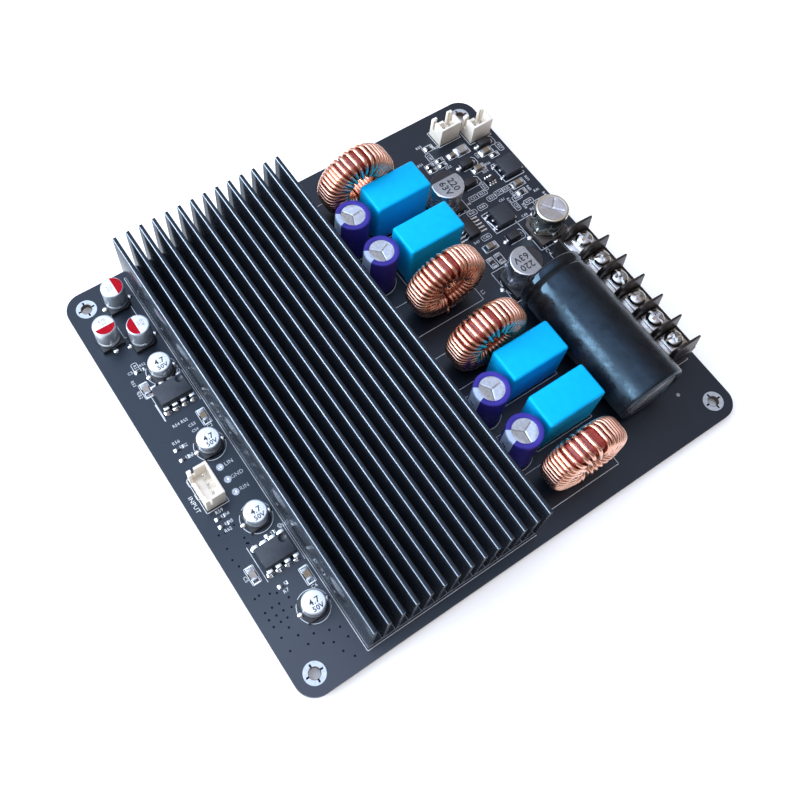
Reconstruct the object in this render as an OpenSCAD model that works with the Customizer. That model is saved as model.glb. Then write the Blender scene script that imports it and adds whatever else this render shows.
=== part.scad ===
// Audio amplifier board: black circuit board carrying a long finned heatsink,
// output filter inductors and capacitors, a lying bulk capacitor, input and
// auxiliary headers and a six-way barrier screw terminal.
// Millimetres, +Z up, z = 0 on the underside of the board, x = y = 0 at the
// centre of the four mounting holes.

/* [Board] */
// Board size along X
board_w = 128.5; // [110:0.5:150]
// Board size along Y
board_l = 142; // [120:0.5:170]
// Board thickness
board_t = 1.6; // [1:0.2:2.4]
// Corner radius
corner_r = 5.5; // [2:0.5:10]
// Mounting hole spacing along X
hole_dx = 117.5; // [100:0.5:140]
// Mounting hole spacing along Y
hole_dy = 131; // [110:0.5:160]
// Mounting hole diameter
hole_d = 3.2; // [2.5:0.1:4.5]
// How far leads and screw heads stand below the underside
drop = 1.7; // [1:0.1:3]

/* [Heatsink] */
// Length along X
sink_len = 123; // [100:1:128]
// Middle of the heatsink along X
sink_x = -0.3; // [-3:0.1:3]
// Base thickness
sink_base = 3.5; // [2.5:0.1:6]
// Height from the board to the fin tips
sink_h = 20.5; // [12:0.5:35]
// Number of fins
fin_count = 14; // [8:1:18]
// Distance between fins
fin_pitch = 3.9; // [3:0.1:6]
// Fin thickness
fin_t = 1.1; // [0.8:0.1:2]
// Middle of the first fin along Y
fin_y0 = -51.2; // [-60:0.1:-40]

/* [Inductors] */
// Core outside diameter
core_od = 21.4; // [16:0.2:28]
// Core inside diameter
core_id = 12.6; // [8:0.2:16]
// Core height along its axis
core_h = 6.4; // [4:0.2:12]
// Wire diameter
wire_d = 1.1; // [0.6:0.1:1.6]
// Gap between the winding and the board
ring_gap = 0.8; // [0:0.1:2]
// Distance between the two wire ends
ring_leads = 7.5; // [6.6:0.1:7.8]

/* [Film capacitors] */
// Width along X
film_w = 10; // [6:0.5:14]
// Length along Y
film_l = 18.2; // [13:0.1:26]
// Height
film_h = 16; // [10:0.5:22]
// Lead spacing
film_pitch = 15; // [10:0.5:22.5]

/* [Upright capacitors] */
// Output capacitor diameter
out_d = 10; // [8:0.5:12.5]
// Output capacitor height
out_h = 16; // [10:0.5:20]
// Output capacitor lead spacing
out_pitch = 5; // [3.5:0.5:7.5]
// Rail and supply can diameter
rail_d = 10; // [8:0.1:12.5]
// Rail and supply can height
rail_h = 10.2; // [8:0.1:14]
// Polymer can diameter
poly_d = 6.4; // [5:0.1:8]
// Polymer can height
poly_h = 8.8; // [5:0.1:12]
// Coupling can diameter
coup_d = 6.3; // [5:0.1:8]
// Coupling can height
coup_h = 5.6; // [5:0.1:9]

/* [Bulk capacitor] */
// Diameter
bulk_d = 20; // [16:0.5:25]
// Length along X
bulk_l = 44; // [30:0.5:60]
// End with the leads, along X
bulk_x = 6; // [0:0.5:12]
// Axis along Y
bulk_y = 46.1; // [40:0.1:52]
// Gap between the can and the board
bulk_gap = 0.5; // [0.2:0.1:2]
// Lead spacing
bulk_pitch = 10; // [7.5:0.5:12.5]

/* [Screw terminals] */
// Number of ways
ways = 6; // [2:1:8]
// Distance between ways
way_pitch = 7.62; // [6:0.02:10]
// Middle of the block along X
term_x = 21.1; // [10:0.1:30]
// Screw axis along Y
term_y = 62.9; // [58:0.1:66]
// Inner face of the block along Y
term_front = 57.6; // [56:0.1:60]
// Outer face of the block along Y
term_back = 67.9; // [66:0.1:70.5]
// Height of the plastic floor above the board
term_floor = 7.8; // [5:0.1:12]
// Height of the barriers above the board
term_wall = 13.5; // [10:0.5:20]
// Screw diameter
screw_d = 3; // [2.5:0.5:4]
// Screw head diameter
screw_head = 5; // [4.5:0.1:5.6]

/* [Hidden] */
$fn = 64;
e = 0.5;
top = board_t;
film_at = [[-38.6, 24.7], [-22.3, 24.6], [23.3, 24.7], [38.5, 24.5]];
out_at = [[-36.7, 8.8], [-22.8, 8.9], [26.6, 9.2], [40.4, 9.1]];
ring_at = [[-48.1, 17.6], [-6.9, 19.5], [12.3, 18.9], [52.7, 19.1]];
rail_at = [[-34.1, 40.7], [-1.1, 44.2]];
supply_at = [-11.2, 61.8];
poly_at = [[-56, -57.3, 0], [-46.7, -64.6, 90], [-42, -56.9, 0]];
coup_at = [[-30.9, -57.1], [-5, -57.1], [18.4, -57.1], [45.3, -57.1]];
amp_at = [[-23, -57.9], [29, -57.9]];
in_at = [5.5, -63.8];
aux_at = [[-55.3, 56.5], [-51.1, 65.5]];
pad_at = [[1.75, -58], [5.7, -58], [9.7, -58]];
sink_screw_at = [[-51.2, 0], [-0.4, 0], [51.2, 0]];
sink_y0 = fin_y0 - fin_t/2;
sink_w = (fin_count - 1)*fin_pitch + fin_t;
sink_screw_y = fin_y0 + (fin_count - 1)/2*fin_pitch;
chip_at = [13.5, -22];
ring_r = core_od/2 + wire_d;
ring_z = top + ring_gap + ring_r;
bulk_z = top + bulk_gap + bulk_d/2;
pin_step = 2.5;
floor_z = top + term_floor;
plate_t = 0.8;
clamp_t = 0.7;
clamp_z = floor_z + plate_t;
head_z = clamp_z + clamp_t;
head_h = 1.8;
shank_len = 6.5;
tail_y = term_front + 2.4;
block_len = ways*way_pitch + 2;
function way_x(i) = term_x + way_pitch*(i - (ways - 1)/2);
function wall_x(i) = term_x + way_pitch*(i - ways/2);
film_leads = [for (p = film_at) for (s = [-1, 1]) [p[0], p[1] + s*film_pitch/2]];
out_leads = [for (p = out_at) for (s = [-1, 1]) [p[0], p[1] + s*out_pitch/2]];
ring_wires = [for (p = ring_at) for (s = [-1, 1]) [p[0] + s*ring_leads/2, p[1]]];
bulk_leads = [for (s = [-1, 1]) [bulk_x - 1, bulk_y + s*bulk_pitch/2]];
amp_pins = [for (p = amp_at) for (s = [-1, 1]) for (k = [-1.5, -0.5, 0.5, 1.5]) [p[0] + s*3.81, p[1] + k*2.54]];
in_pins = [for (k = [-1, 0, 1]) [in_at[0] + k*pin_step, in_at[1] + 0.5]];
aux_pins = [for (p = aux_at) for (k = [-0.5, 0.5]) [p[0] + 0.5, p[1] + k*pin_step]];
term_tails = [for (i = [0 : ways - 1]) [way_x(i), tail_y]];
// Small chip parts: x, y, size along X, size along Y
resistor_at = [
    [-53.6, 49.2, 1.25, 2], [-48, 49.4, 0.8, 1.6], [-46.1, 49.2, 0.8, 1.6], [-47.8, 45.6, 0.8, 1.6],
    [-46.1, 45.5, 0.8, 1.6], [-40.9, 65.5, 0.8, 1.6], [-25.1, 63.9, 1.25, 2],
    [-9.8, 43.7, 2, 1.25], [-9.7, 40.8, 2, 1.25],
    [-33.9, -62.4, 0.8, 1.6], [-8.5, -64.5, 0.8, 1.6], [-5.3, -64.6, 0.8, 1.6],
    [13.5, -65, 0.8, 1.6], [15.7, -65.2, 0.8, 1.6], [36.7, -60.7, 0.8, 1.6], [24, -56.7, 0.8, 1.6]];
ceramic_at = [
    [-47.5, 57.7, 2.5, 3.2], [-47.4, 54, 1.25, 2], [-43.2, 63.9, 1.6, 3.2], [-39.2, 58, 1.6, 3.2],
    [-28.3, 64.9, 1.6, 3.2], [-14.4, 43.7, 1.6, 3.2], [-27.9, -63.5, 3.2, 1.6], [-13, -54.3, 3.2, 1.6],
    [30.6, -65.6, 3.2, 1.6], [37.9, -54.2, 3.2, 1.6]];
diode_at = [[-42.2, 55.2], [-45.9, 64.8], [-35.9, 51.7], [-13.3, 51.2]];
regulator_at = [[-34.6, 66.1], [-21, 52.9]];

module slab(w, l, h, r) {
    translate([-w/2 + r, -l/2, 0]) cube([w - 2*r, l, h]);
    translate([-w/2, -l/2 + r, 0]) cube([w, l - 2*r, h]);
    for (sx = [-1, 1], sy = [-1, 1])
        translate([sx*(w/2 - r), sy*(l/2 - r), 0]) cylinder(h = h, r = r);
}

module block(x, y, z, w, l, h) translate([x - w/2, y - l/2, z]) cube([w, l, h]);

module drill(at, r) for (p = at) translate([p[0], p[1], -1]) cylinder(h = board_t + 2, r = r);

module posts(at, r, z) for (p = at) translate([p[0], p[1], -drop]) cylinder(h = z + drop, r = r);

module circuit_board() color([0.05, 0.06, 0.09]) difference() {
    slab(board_w, board_l, board_t, corner_r);
    for (sx = [-1, 1], sy = [-1, 1]) translate([sx*hole_dx/2, sy*hole_dy/2, -1]) cylinder(h = board_t + 2, d = hole_d);
    drill(film_leads, 0.5);
    drill(out_leads, 0.45);
    drill(ring_wires, wire_d/2 + 0.15);
    drill(bulk_leads, 0.65);
    drill(amp_pins, 0.45);
    drill(in_pins, 0.55);
    drill(aux_pins, 0.55);
    drill(term_tails, 0.75);
    drill(pad_at, 0.5);
    for (p = sink_screw_at) translate([p[0], sink_screw_y, -1]) cylinder(h = board_t + 2, r = 1.35);
}

// Extruded aluminium: one base with straight fins, a shallow pocket over the chip
module heatsink() color([0.09, 0.09, 0.1]) difference() {
    union() {
        translate([sink_x - sink_len/2, sink_y0, top]) cube([sink_len, sink_w, sink_base]);
        for (k = [0 : fin_count - 1])
            translate([sink_x - sink_len/2, sink_y0 + k*fin_pitch, top]) cube([sink_len, fin_t, sink_h]);
    }
    translate([chip_at[0] - 9, chip_at[1] - 6, top - 1]) cube([18, 12, 2.7]);
    for (p = sink_screw_at) translate([p[0], sink_screw_y, top - 1]) cylinder(h = sink_base + 2, r = 1.25);
}

module heatsink_screws() color([0.6, 0.6, 0.62]) for (p = sink_screw_at)
    translate([p[0], sink_screw_y, 0]) difference() {
        union() {
            translate([0, 0, -drop]) cylinder(h = drop, r = 2.25);
            translate([0, 0, -0.2]) cylinder(h = top + sink_base + 0.8, r = 1.22);
        }
        block(0, 0, -drop - 1, 2.6, 0.6, 1.9);
        block(0, 0, -drop - 1, 0.6, 2.6, 1.9);
    }

// Power chip lying under the heatsink, one row of leads along each long side
module amplifier_chip() color([0.12, 0.12, 0.13]) {
    block(chip_at[0], chip_at[1], top, 14, 6.1, 1.2);
    for (k = [-10.5 : 10.5]) block(chip_at[0] + k*0.635, chip_at[1], top, 0.3, 8.1, 0.2);
}

module thermal_pad() color([0.75, 0.76, 0.78]) block(chip_at[0], chip_at[1], top + 1.2, 14, 6.1, 0.5);

// Section of a ring about its axis, edges bevelled
module ring_section(ri, ro, h, c) rotate_extrude() polygon([
    [ri, -h/2 + c], [ri + c, -h/2], [ro - c, -h/2], [ro, -h/2 + c],
    [ro, h/2 - c], [ro - c, h/2], [ri + c, h/2], [ri, h/2 - c]]);

module inductor_core(p) color([0.6, 0.2, 0.16]) translate([p[0], p[1], ring_z]) rotate([0, 90, 0])
    ring_section(core_id/2, core_od/2, core_h, 0.8);

// Copper wire round the core, open between the spread turns at the top
module inductor_winding(p) color([0.78, 0.45, 0.3]) translate([p[0], p[1], ring_z]) {
    difference() {
        rotate([0, 90, 0]) ring_section(core_id/2 - wire_d, ring_r, core_h + 2*wire_d, 1.3);
        rotate([0, 90, 0]) ring_section(core_id/2, core_od/2, core_h, 0.8);
        for (a = [-30, -18, -6, 6, 18]) rotate([a, 0, 0])
            translate([-6, -0.55, core_od/2 - 1.4]) cube([12, 1.1, 4]);
    }
    for (s = [-1, 1]) translate([s*ring_leads/2, 0, -ring_z - drop])
        cylinder(h = ring_z + drop - core_id/2 - 1, d = wire_d);
}

module film_capacitor(p) color([0.05, 0.62, 0.95]) {
    translate([p[0], p[1], top]) slab(film_w, film_l, film_h, 0.8);
    for (s = [-1, 1]) posts([[p[0], p[1] + s*film_pitch/2]], 0.4, top + e);
}

// Sleeved can with a pinch groove near the foot and a rim over the top edge
module output_capacitor(p) color([0.25, 0.2, 0.62]) {
    translate([p[0], p[1], top]) rotate_extrude() polygon([
        [0, 0], [out_d/2 - 1, 0], [out_d/2, 0.9], [out_d/2, 1.9], [out_d/2 - 0.35, 2.3], [out_d/2, 2.7],
        [out_d/2, out_h - 0.4], [out_d/2 - 0.4, out_h], [out_d/2 - 0.9, out_h], [out_d/2 - 0.9, out_h - 0.3], [0, out_h - 0.3]]);
    for (s = [-1, 1]) posts([[p[0], p[1] + s*out_pitch/2]], 0.3, top + e);
}

// Lying can, leads at the inner end bent down to the board
module bulk_capacitor() color([0.07, 0.07, 0.08]) {
    translate([bulk_x, bulk_y, bulk_z]) rotate([0, 90, 0]) rotate_extrude() polygon([
        [0, 0.6], [bulk_d/2 - 2, 0.6], [bulk_d/2 - 2, 0], [bulk_d/2 - 0.8, 0], [bulk_d/2, 0.8], [bulk_d/2, 2.6],
        [bulk_d/2 - 0.6, 3.2], [bulk_d/2, 3.8], [bulk_d/2, bulk_l - 0.8], [bulk_d/2 - 0.8, bulk_l],
        [bulk_d/2 - 2.2, bulk_l], [bulk_d/2 - 2.2, bulk_l - 0.4], [0, bulk_l - 0.4]]);
    for (p = bulk_leads) {
        translate([p[0], p[1], bulk_z]) rotate([0, 90, 0]) cylinder(h = 2.2, r = 0.5);
        translate([p[0], p[1], bulk_z]) sphere(r = 0.5);
        translate([p[0], p[1], -drop]) cylinder(h = bulk_z + drop, r = 0.5);
    }
}

// Can on a square base with two bevelled corners and a solder tab at each end
module smd_can(d, h, b, turn) rotate([0, 0, turn]) {
    linear_extrude(1.3) polygon([[-b/2, -b/2], [b/2, -b/2], [b/2, b/2 - b/5], [b/2 - b/5, b/2], [-b/2 + b/5, b/2], [-b/2, b/2 - b/5]]);
    block(0, 0, 0, 1, b + 1.6, 0.25);
    rotate_extrude() polygon([[0, 1], [d/2 - 0.5, 1], [d/2 - 0.5, 1.6], [d/2, 2], [d/2, 2.7], [d/2 - 0.2, 3],
        [d/2, 3.3], [d/2, h - 0.4], [d/2 - 0.4, h], [0, h]]);
}

module polymer_capacitor(p) color([0.75, 0.75, 0.77]) translate([p[0], p[1], top]) smd_can(poly_d, poly_h, 6.6, p[2]);
module coupling_capacitor(p) color([0.85, 0.85, 0.86]) translate([p[0], p[1], top]) smd_can(coup_d, coup_h, 6.6, 0);
module rail_capacitor(p) color([0.7, 0.72, 0.74]) translate([p[0], p[1], top]) smd_can(rail_d, rail_h, 10.3, 0);
module supply_capacitor() color([0.7, 0.7, 0.7]) translate([supply_at[0], supply_at[1], top]) smd_can(rail_d, rail_h, 10.3, 0);

// Eight-pin chip, both pairs of sides drafted
module amp_leads(p) translate([p[0], p[1], 0]) for (s = [-1, 1], k = [-1.5, -0.5, 0.5, 1.5]) {
    block(s*3.43, k*2.54, 3.55, 1.02, 1.4, 0.26);
    block(s*3.81, k*2.54, top + 0.4, 0.26, 1.4, 1.81);
    block(s*3.81, k*2.54, -drop, 0.26, 0.5, drop + top + 0.6);
}

module op_amp(p) color([0.1, 0.1, 0.1]) difference() {
    translate([p[0], p[1], 0]) intersection() {
        translate([0, 6, 0]) rotate([90, 0, 0]) linear_extrude(12) polygon([
            [-2.95, 2.1], [2.95, 2.1], [3.2, 3.7], [2.9, 5.3], [-2.9, 5.3], [-3.2, 3.7]]);
        translate([-5, 0, 0]) rotate([90, 0, 90]) linear_extrude(10) polygon([
            [-4.35, 2.1], [4.35, 2.1], [4.6, 3.7], [4.4, 5.3], [-4.4, 5.3], [-4.6, 3.7]]);
    }
    amp_leads(p);
    translate([p[0] - 1.6, p[1] + 3.2, 5.1]) cylinder(h = 1, r = 0.7);
}

module op_amp_leads() color([0.78, 0.78, 0.8]) for (p = amp_at) amp_leads(p);

// Open-topped pin housing, two slots in one long wall
module header_shell(w, d, pins) difference() {
    block(0, 0, top, w, d, 7);
    block(0, 0.1, top + 1.4, w - 1.6, d - 1.6, 7);
    for (s = [-1, 1]) block(s*(w/2 - 1.9), -d/2, top + 2.4, 0.9, 3, 7);
    for (k = pins) block(k*pin_step, 0.5, top - 1, 0.64, 0.64, 4);
}

module header_pins(at) for (p = at) block(p[0], p[1], -drop, 0.64, 0.64, drop + top + 5.4);

module input_header() color([0.93, 0.91, 0.84]) translate([in_at[0], in_at[1], 0]) header_shell(9.9, 5.75, [-1, 0, 1]);
module input_header_pins() color([0.8, 0.8, 0.78]) header_pins(in_pins);
module aux_header(p) color([0.93, 0.91, 0.84]) translate([p[0], p[1], 0]) rotate([0, 0, -90]) header_shell(7.4, 5.75, [-0.5, 0.5]);
module aux_header_pins() color([0.8, 0.8, 0.78]) header_pins(aux_pins);

// Barrier between two ways: thinner at the top, its corners cut back
module barrier(i) translate([wall_x(i), 0, 0]) intersection() {
    translate([-1, 0, 0]) rotate([90, 0, 90]) linear_extrude(2) polygon([
        [term_front + 0.6, floor_z - 1], [term_front + 0.6, floor_z + 3], [term_front + 1.6, top + term_wall - 0.5],
        [term_front + 2.6, top + term_wall], [term_back - 0.6, top + term_wall - 0.2], [term_back, top + term_wall - 0.8],
        [term_back, floor_z - 1]]);
    translate([0, term_back + 1, 0]) rotate([90, 0, 0]) linear_extrude(term_back - term_front + 2) polygon([
        [-1, floor_z - 1], [1, floor_z - 1], [0.6, top + term_wall + 0.2], [-0.6, top + term_wall + 0.2]]);
}

module terminal_block() color([0.1, 0.09, 0.09]) difference() {
    union() {
        translate([term_x - block_len/2, term_front, top]) cube([block_len, term_back - term_front, term_floor]);
        for (i = [0 : ways]) barrier(i);
    }
    for (i = [0 : ways - 1]) {
        translate([way_x(i), term_y, head_z - shank_len - 0.6]) cylinder(h = 20, r = screw_d/2 + 0.4);
        block(way_x(i), tail_y, top - 1, 1, 0.8, term_floor + 2);
    }
}

// Tapped plates, each with a solder tail through the board
module terminal_contacts() color([0.85, 0.85, 0.84]) for (i = [0 : ways - 1]) difference() {
    union() {
        translate([way_x(i) - 2.7, term_front + 0.2, floor_z]) cube([5.4, 8.6, plate_t]);
        block(way_x(i), tail_y, -drop, 1, 0.8, drop + floor_z + 0.4);
    }
    translate([way_x(i), term_y, floor_z - 1]) cylinder(h = 3, r = screw_d/2 + 0.05);
}

module terminal_clamp(i) color([0.8, 0.8, 0.8]) difference() {
    block(way_x(i), term_y, clamp_z, 5.2, 5.6, clamp_t);
    translate([way_x(i), term_y, clamp_z - 1]) cylinder(h = 3, r = screw_d/2 + 0.08);
}

// Domed head with a long slot crossed by a short one
module terminal_screw(i) color([0.82, 0.82, 0.83]) translate([way_x(i), term_y, head_z]) difference() {
    union() {
        intersection() {
            cylinder(h = head_h, d = screw_head);
            translate([0, 0, head_h - 4.8]) sphere(r = 4.8);
        }
        translate([0, 0, -shank_len]) cylinder(h = shank_len + e, d = screw_d);
    }
    rotate([0, 0, 35]) block(0, 0, head_h - 0.8, screw_head + 1, 0.7, 2);
    rotate([0, 0, 35]) block(0, 0, head_h - 1, 0.7, 3, 2);
}

module chip(p, h) {
    block(p[0], p[1], top, p[2], p[3], h);
}

module chip_resistors() color([0.12, 0.12, 0.13]) for (p = resistor_at) chip(p, 0.5);
module chip_capacitors() color([0.62, 0.5, 0.38]) for (p = ceramic_at) chip(p, 1.2);

module diodes() color([0.12, 0.12, 0.12]) for (p = diode_at) {
    block(p[0], p[1], top + 0.1, 2.6, 4.3, 2.1);
    block(p[0], p[1], top, 1.4, 5.2, 0.9);
}

module regulators() color([0.12, 0.12, 0.12]) for (p = regulator_at) {
    block(p[0], p[1], top, 6.5, 6.1, 2.3);
    block(p[0], p[1] + 2, top, 5.3, 4, 0.5);
    for (s = [-1, 1]) block(p[0] + s*2.28, p[1] - 4, top, 0.8, 2.4, 0.5);
}

// Two small control chips with leads along both long sides
module control_chips() color([0.12, 0.12, 0.12]) {
    block(-33.7, 58.5, top, 1.6, 2.9, 1.1);
    for (k = [-1, 0, 1]) block(-33.7, 58.5 + k*0.95, top, 3.4, 0.4, 0.4);
    block(-22.7, 42, top, 6.2, 3.9, 1.6);
    for (k = [-2 : 2]) block(-22.7 + k*1.27, 42, top, 0.45, 9.2, 0.5);
}

// Solder cone round every lead on the underside
module cones(at, r) for (p = at) translate([p[0], p[1], 0]) difference() {
    translate([0, 0, -1.2]) cylinder(h = 1.2, r1 = r + 0.1, r2 = r + 0.65);
    translate([0, 0, -2]) cylinder(h = 3, r = r);
}

module solder_joints() color([0.72, 0.73, 0.74]) {
    cones(film_leads, 0.4);
    cones(out_leads, 0.3);
    cones(ring_wires, wire_d/2);
    cones(bulk_leads, 0.5);
    cones(amp_pins, 0.3);
    cones(in_pins, 0.46);
    cones(aux_pins, 0.46);
    cones(term_tails, 0.65);
}

circuit_board();
heatsink();
heatsink_screws();
amplifier_chip();
thermal_pad();
inductor_core(ring_at[0]);  // inductor_core_1
inductor_core(ring_at[1]);  // inductor_core_2
inductor_core(ring_at[2]);  // inductor_core_3
inductor_core(ring_at[3]);  // inductor_core_4
inductor_winding(ring_at[0]);  // inductor_winding_1
inductor_winding(ring_at[1]);  // inductor_winding_2
inductor_winding(ring_at[2]);  // inductor_winding_3
inductor_winding(ring_at[3]);  // inductor_winding_4
film_capacitor(film_at[0]);  // film_capacitor_1
film_capacitor(film_at[1]);  // film_capacitor_2
film_capacitor(film_at[2]);  // film_capacitor_3
film_capacitor(film_at[3]);  // film_capacitor_4
output_capacitor(out_at[0]);  // output_capacitor_1
output_capacitor(out_at[1]);  // output_capacitor_2
output_capacitor(out_at[2]);  // output_capacitor_3
output_capacitor(out_at[3]);  // output_capacitor_4
bulk_capacitor();
polymer_capacitor(poly_at[0]);  // polymer_capacitor_1
polymer_capacitor(poly_at[1]);  // polymer_capacitor_2
polymer_capacitor(poly_at[2]);  // polymer_capacitor_3
coupling_capacitor(coup_at[0]);  // coupling_capacitor_1
coupling_capacitor(coup_at[1]);  // coupling_capacitor_2
coupling_capacitor(coup_at[2]);  // coupling_capacitor_3
coupling_capacitor(coup_at[3]);  // coupling_capacitor_4
rail_capacitor(rail_at[0]);  // rail_capacitor_1
rail_capacitor(rail_at[1]);  // rail_capacitor_2
supply_capacitor();
op_amp(amp_at[0]);  // op_amp_1
op_amp(amp_at[1]);  // op_amp_2
op_amp_leads();
input_header();
input_header_pins();
aux_header(aux_at[0]);  // aux_header_1
aux_header(aux_at[1]);  // aux_header_2
aux_header_pins();
terminal_block();
terminal_contacts();
terminal_clamp(0);  // terminal_clamp_1
terminal_clamp(1);  // terminal_clamp_2
terminal_clamp(2);  // terminal_clamp_3
terminal_clamp(3);  // terminal_clamp_4
terminal_clamp(4);  // terminal_clamp_5
terminal_clamp(5);  // terminal_clamp_6
terminal_screw(0);  // terminal_screw_1
terminal_screw(1);  // terminal_screw_2
terminal_screw(2);  // terminal_screw_3
terminal_screw(3);  // terminal_screw_4
terminal_screw(4);  // terminal_screw_5
terminal_screw(5);  // terminal_screw_6
chip_resistors();
chip_capacitors();
diodes();
regulators();
control_chips();
solder_joints();
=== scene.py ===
import math
import random

import bmesh
import bpy
from mathutils import Matrix, Vector, noise

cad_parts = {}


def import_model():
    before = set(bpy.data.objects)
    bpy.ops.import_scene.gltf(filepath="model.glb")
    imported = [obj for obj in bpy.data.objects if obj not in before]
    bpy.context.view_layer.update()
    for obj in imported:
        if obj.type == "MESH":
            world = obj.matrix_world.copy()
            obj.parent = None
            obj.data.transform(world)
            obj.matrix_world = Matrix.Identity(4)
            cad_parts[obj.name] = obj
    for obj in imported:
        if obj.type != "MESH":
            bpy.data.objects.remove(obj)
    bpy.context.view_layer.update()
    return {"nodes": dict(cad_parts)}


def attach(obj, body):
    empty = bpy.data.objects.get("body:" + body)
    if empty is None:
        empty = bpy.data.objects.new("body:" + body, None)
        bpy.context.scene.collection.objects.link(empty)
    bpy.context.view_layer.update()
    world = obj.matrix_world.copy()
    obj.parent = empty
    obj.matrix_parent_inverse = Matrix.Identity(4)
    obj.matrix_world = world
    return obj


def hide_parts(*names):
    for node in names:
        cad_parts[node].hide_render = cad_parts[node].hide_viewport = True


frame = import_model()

SCENE = bpy.context.scene
NODE = frame["nodes"]
TOP = 1.6        # component side of the board, mm
DROP = -1.7      # lowest lead ends, mm
PI = math.pi


# ---------------------------------------------------------------- materials

def surf(name, dark, light, rough, metal=0.0, scale=700.0, detail=5.0, spread=0.08, bump=0.0,
         bscale=3000.0, bdist=0.02, coat=0.0, coat_rough=0.1, ior=1.5, stretch=None, lo=0.3, hi=0.7, tint=None, glow=0.0):
    """Principled surface whose colour, roughness and relief all vary with object-space noise."""
    m = bpy.data.materials.new(name)
    m.use_nodes = True
    n, link = m.node_tree.nodes, m.node_tree.links.new
    p = n["Principled BSDF"]
    tc = n.new("ShaderNodeTexCoord")
    src = tc.outputs["Object"]
    if stretch:
        mp = n.new("ShaderNodeMapping")
        mp.inputs["Scale"].default_value = stretch
        link(src, mp.inputs["Vector"])
        src = mp.outputs["Vector"]
    a = n.new("ShaderNodeTexNoise")
    a.inputs["Scale"].default_value = scale
    a.inputs["Detail"].default_value = detail
    link(src, a.inputs["Vector"])
    ramp = n.new("ShaderNodeValToRGB")
    ramp.color_ramp.elements[0].position = lo
    ramp.color_ramp.elements[1].position = hi
    ramp.color_ramp.elements[0].color = (*dark, 1)
    ramp.color_ramp.elements[1].color = (*light, 1)
    link(a.outputs["Fac"], ramp.inputs["Fac"])
    link(ramp.outputs["Color"], p.inputs["Base Color"])
    b = n.new("ShaderNodeTexNoise")
    b.inputs["Scale"].default_value = bscale
    b.inputs["Detail"].default_value = 3.0
    link(src, b.inputs["Vector"])
    mr = n.new("ShaderNodeMapRange")
    mr.inputs["From Min"].default_value = 0.3
    mr.inputs["From Max"].default_value = 0.7
    mr.inputs["To Min"].default_value = max(0.02, rough - spread)
    mr.inputs["To Max"].default_value = min(1.0, rough + spread)
    link(b.outputs["Fac"], mr.inputs["Value"])
    link(mr.outputs["Result"], p.inputs["Roughness"])
    if bump:
        bp = n.new("ShaderNodeBump")
        bp.inputs["Strength"].default_value = bump
        bp.inputs["Distance"].default_value = bdist * 0.001
        link(b.outputs["Fac"], bp.inputs["Height"])
        link(bp.outputs["Normal"], p.inputs["Normal"])
    p.inputs["Metallic"].default_value = metal
    p.inputs["IOR"].default_value = ior
    if tint:
        p.inputs["Specular Tint"].default_value = (*tint, 1)
    if glow:
        link(ramp.outputs["Color"], p.inputs["Emission Color"])
        p.inputs["Emission Strength"].default_value = glow
    if coat:
        p.inputs["Coat Weight"].default_value = coat
        p.inputs["Coat Roughness"].default_value = coat_rough
    return m


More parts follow.
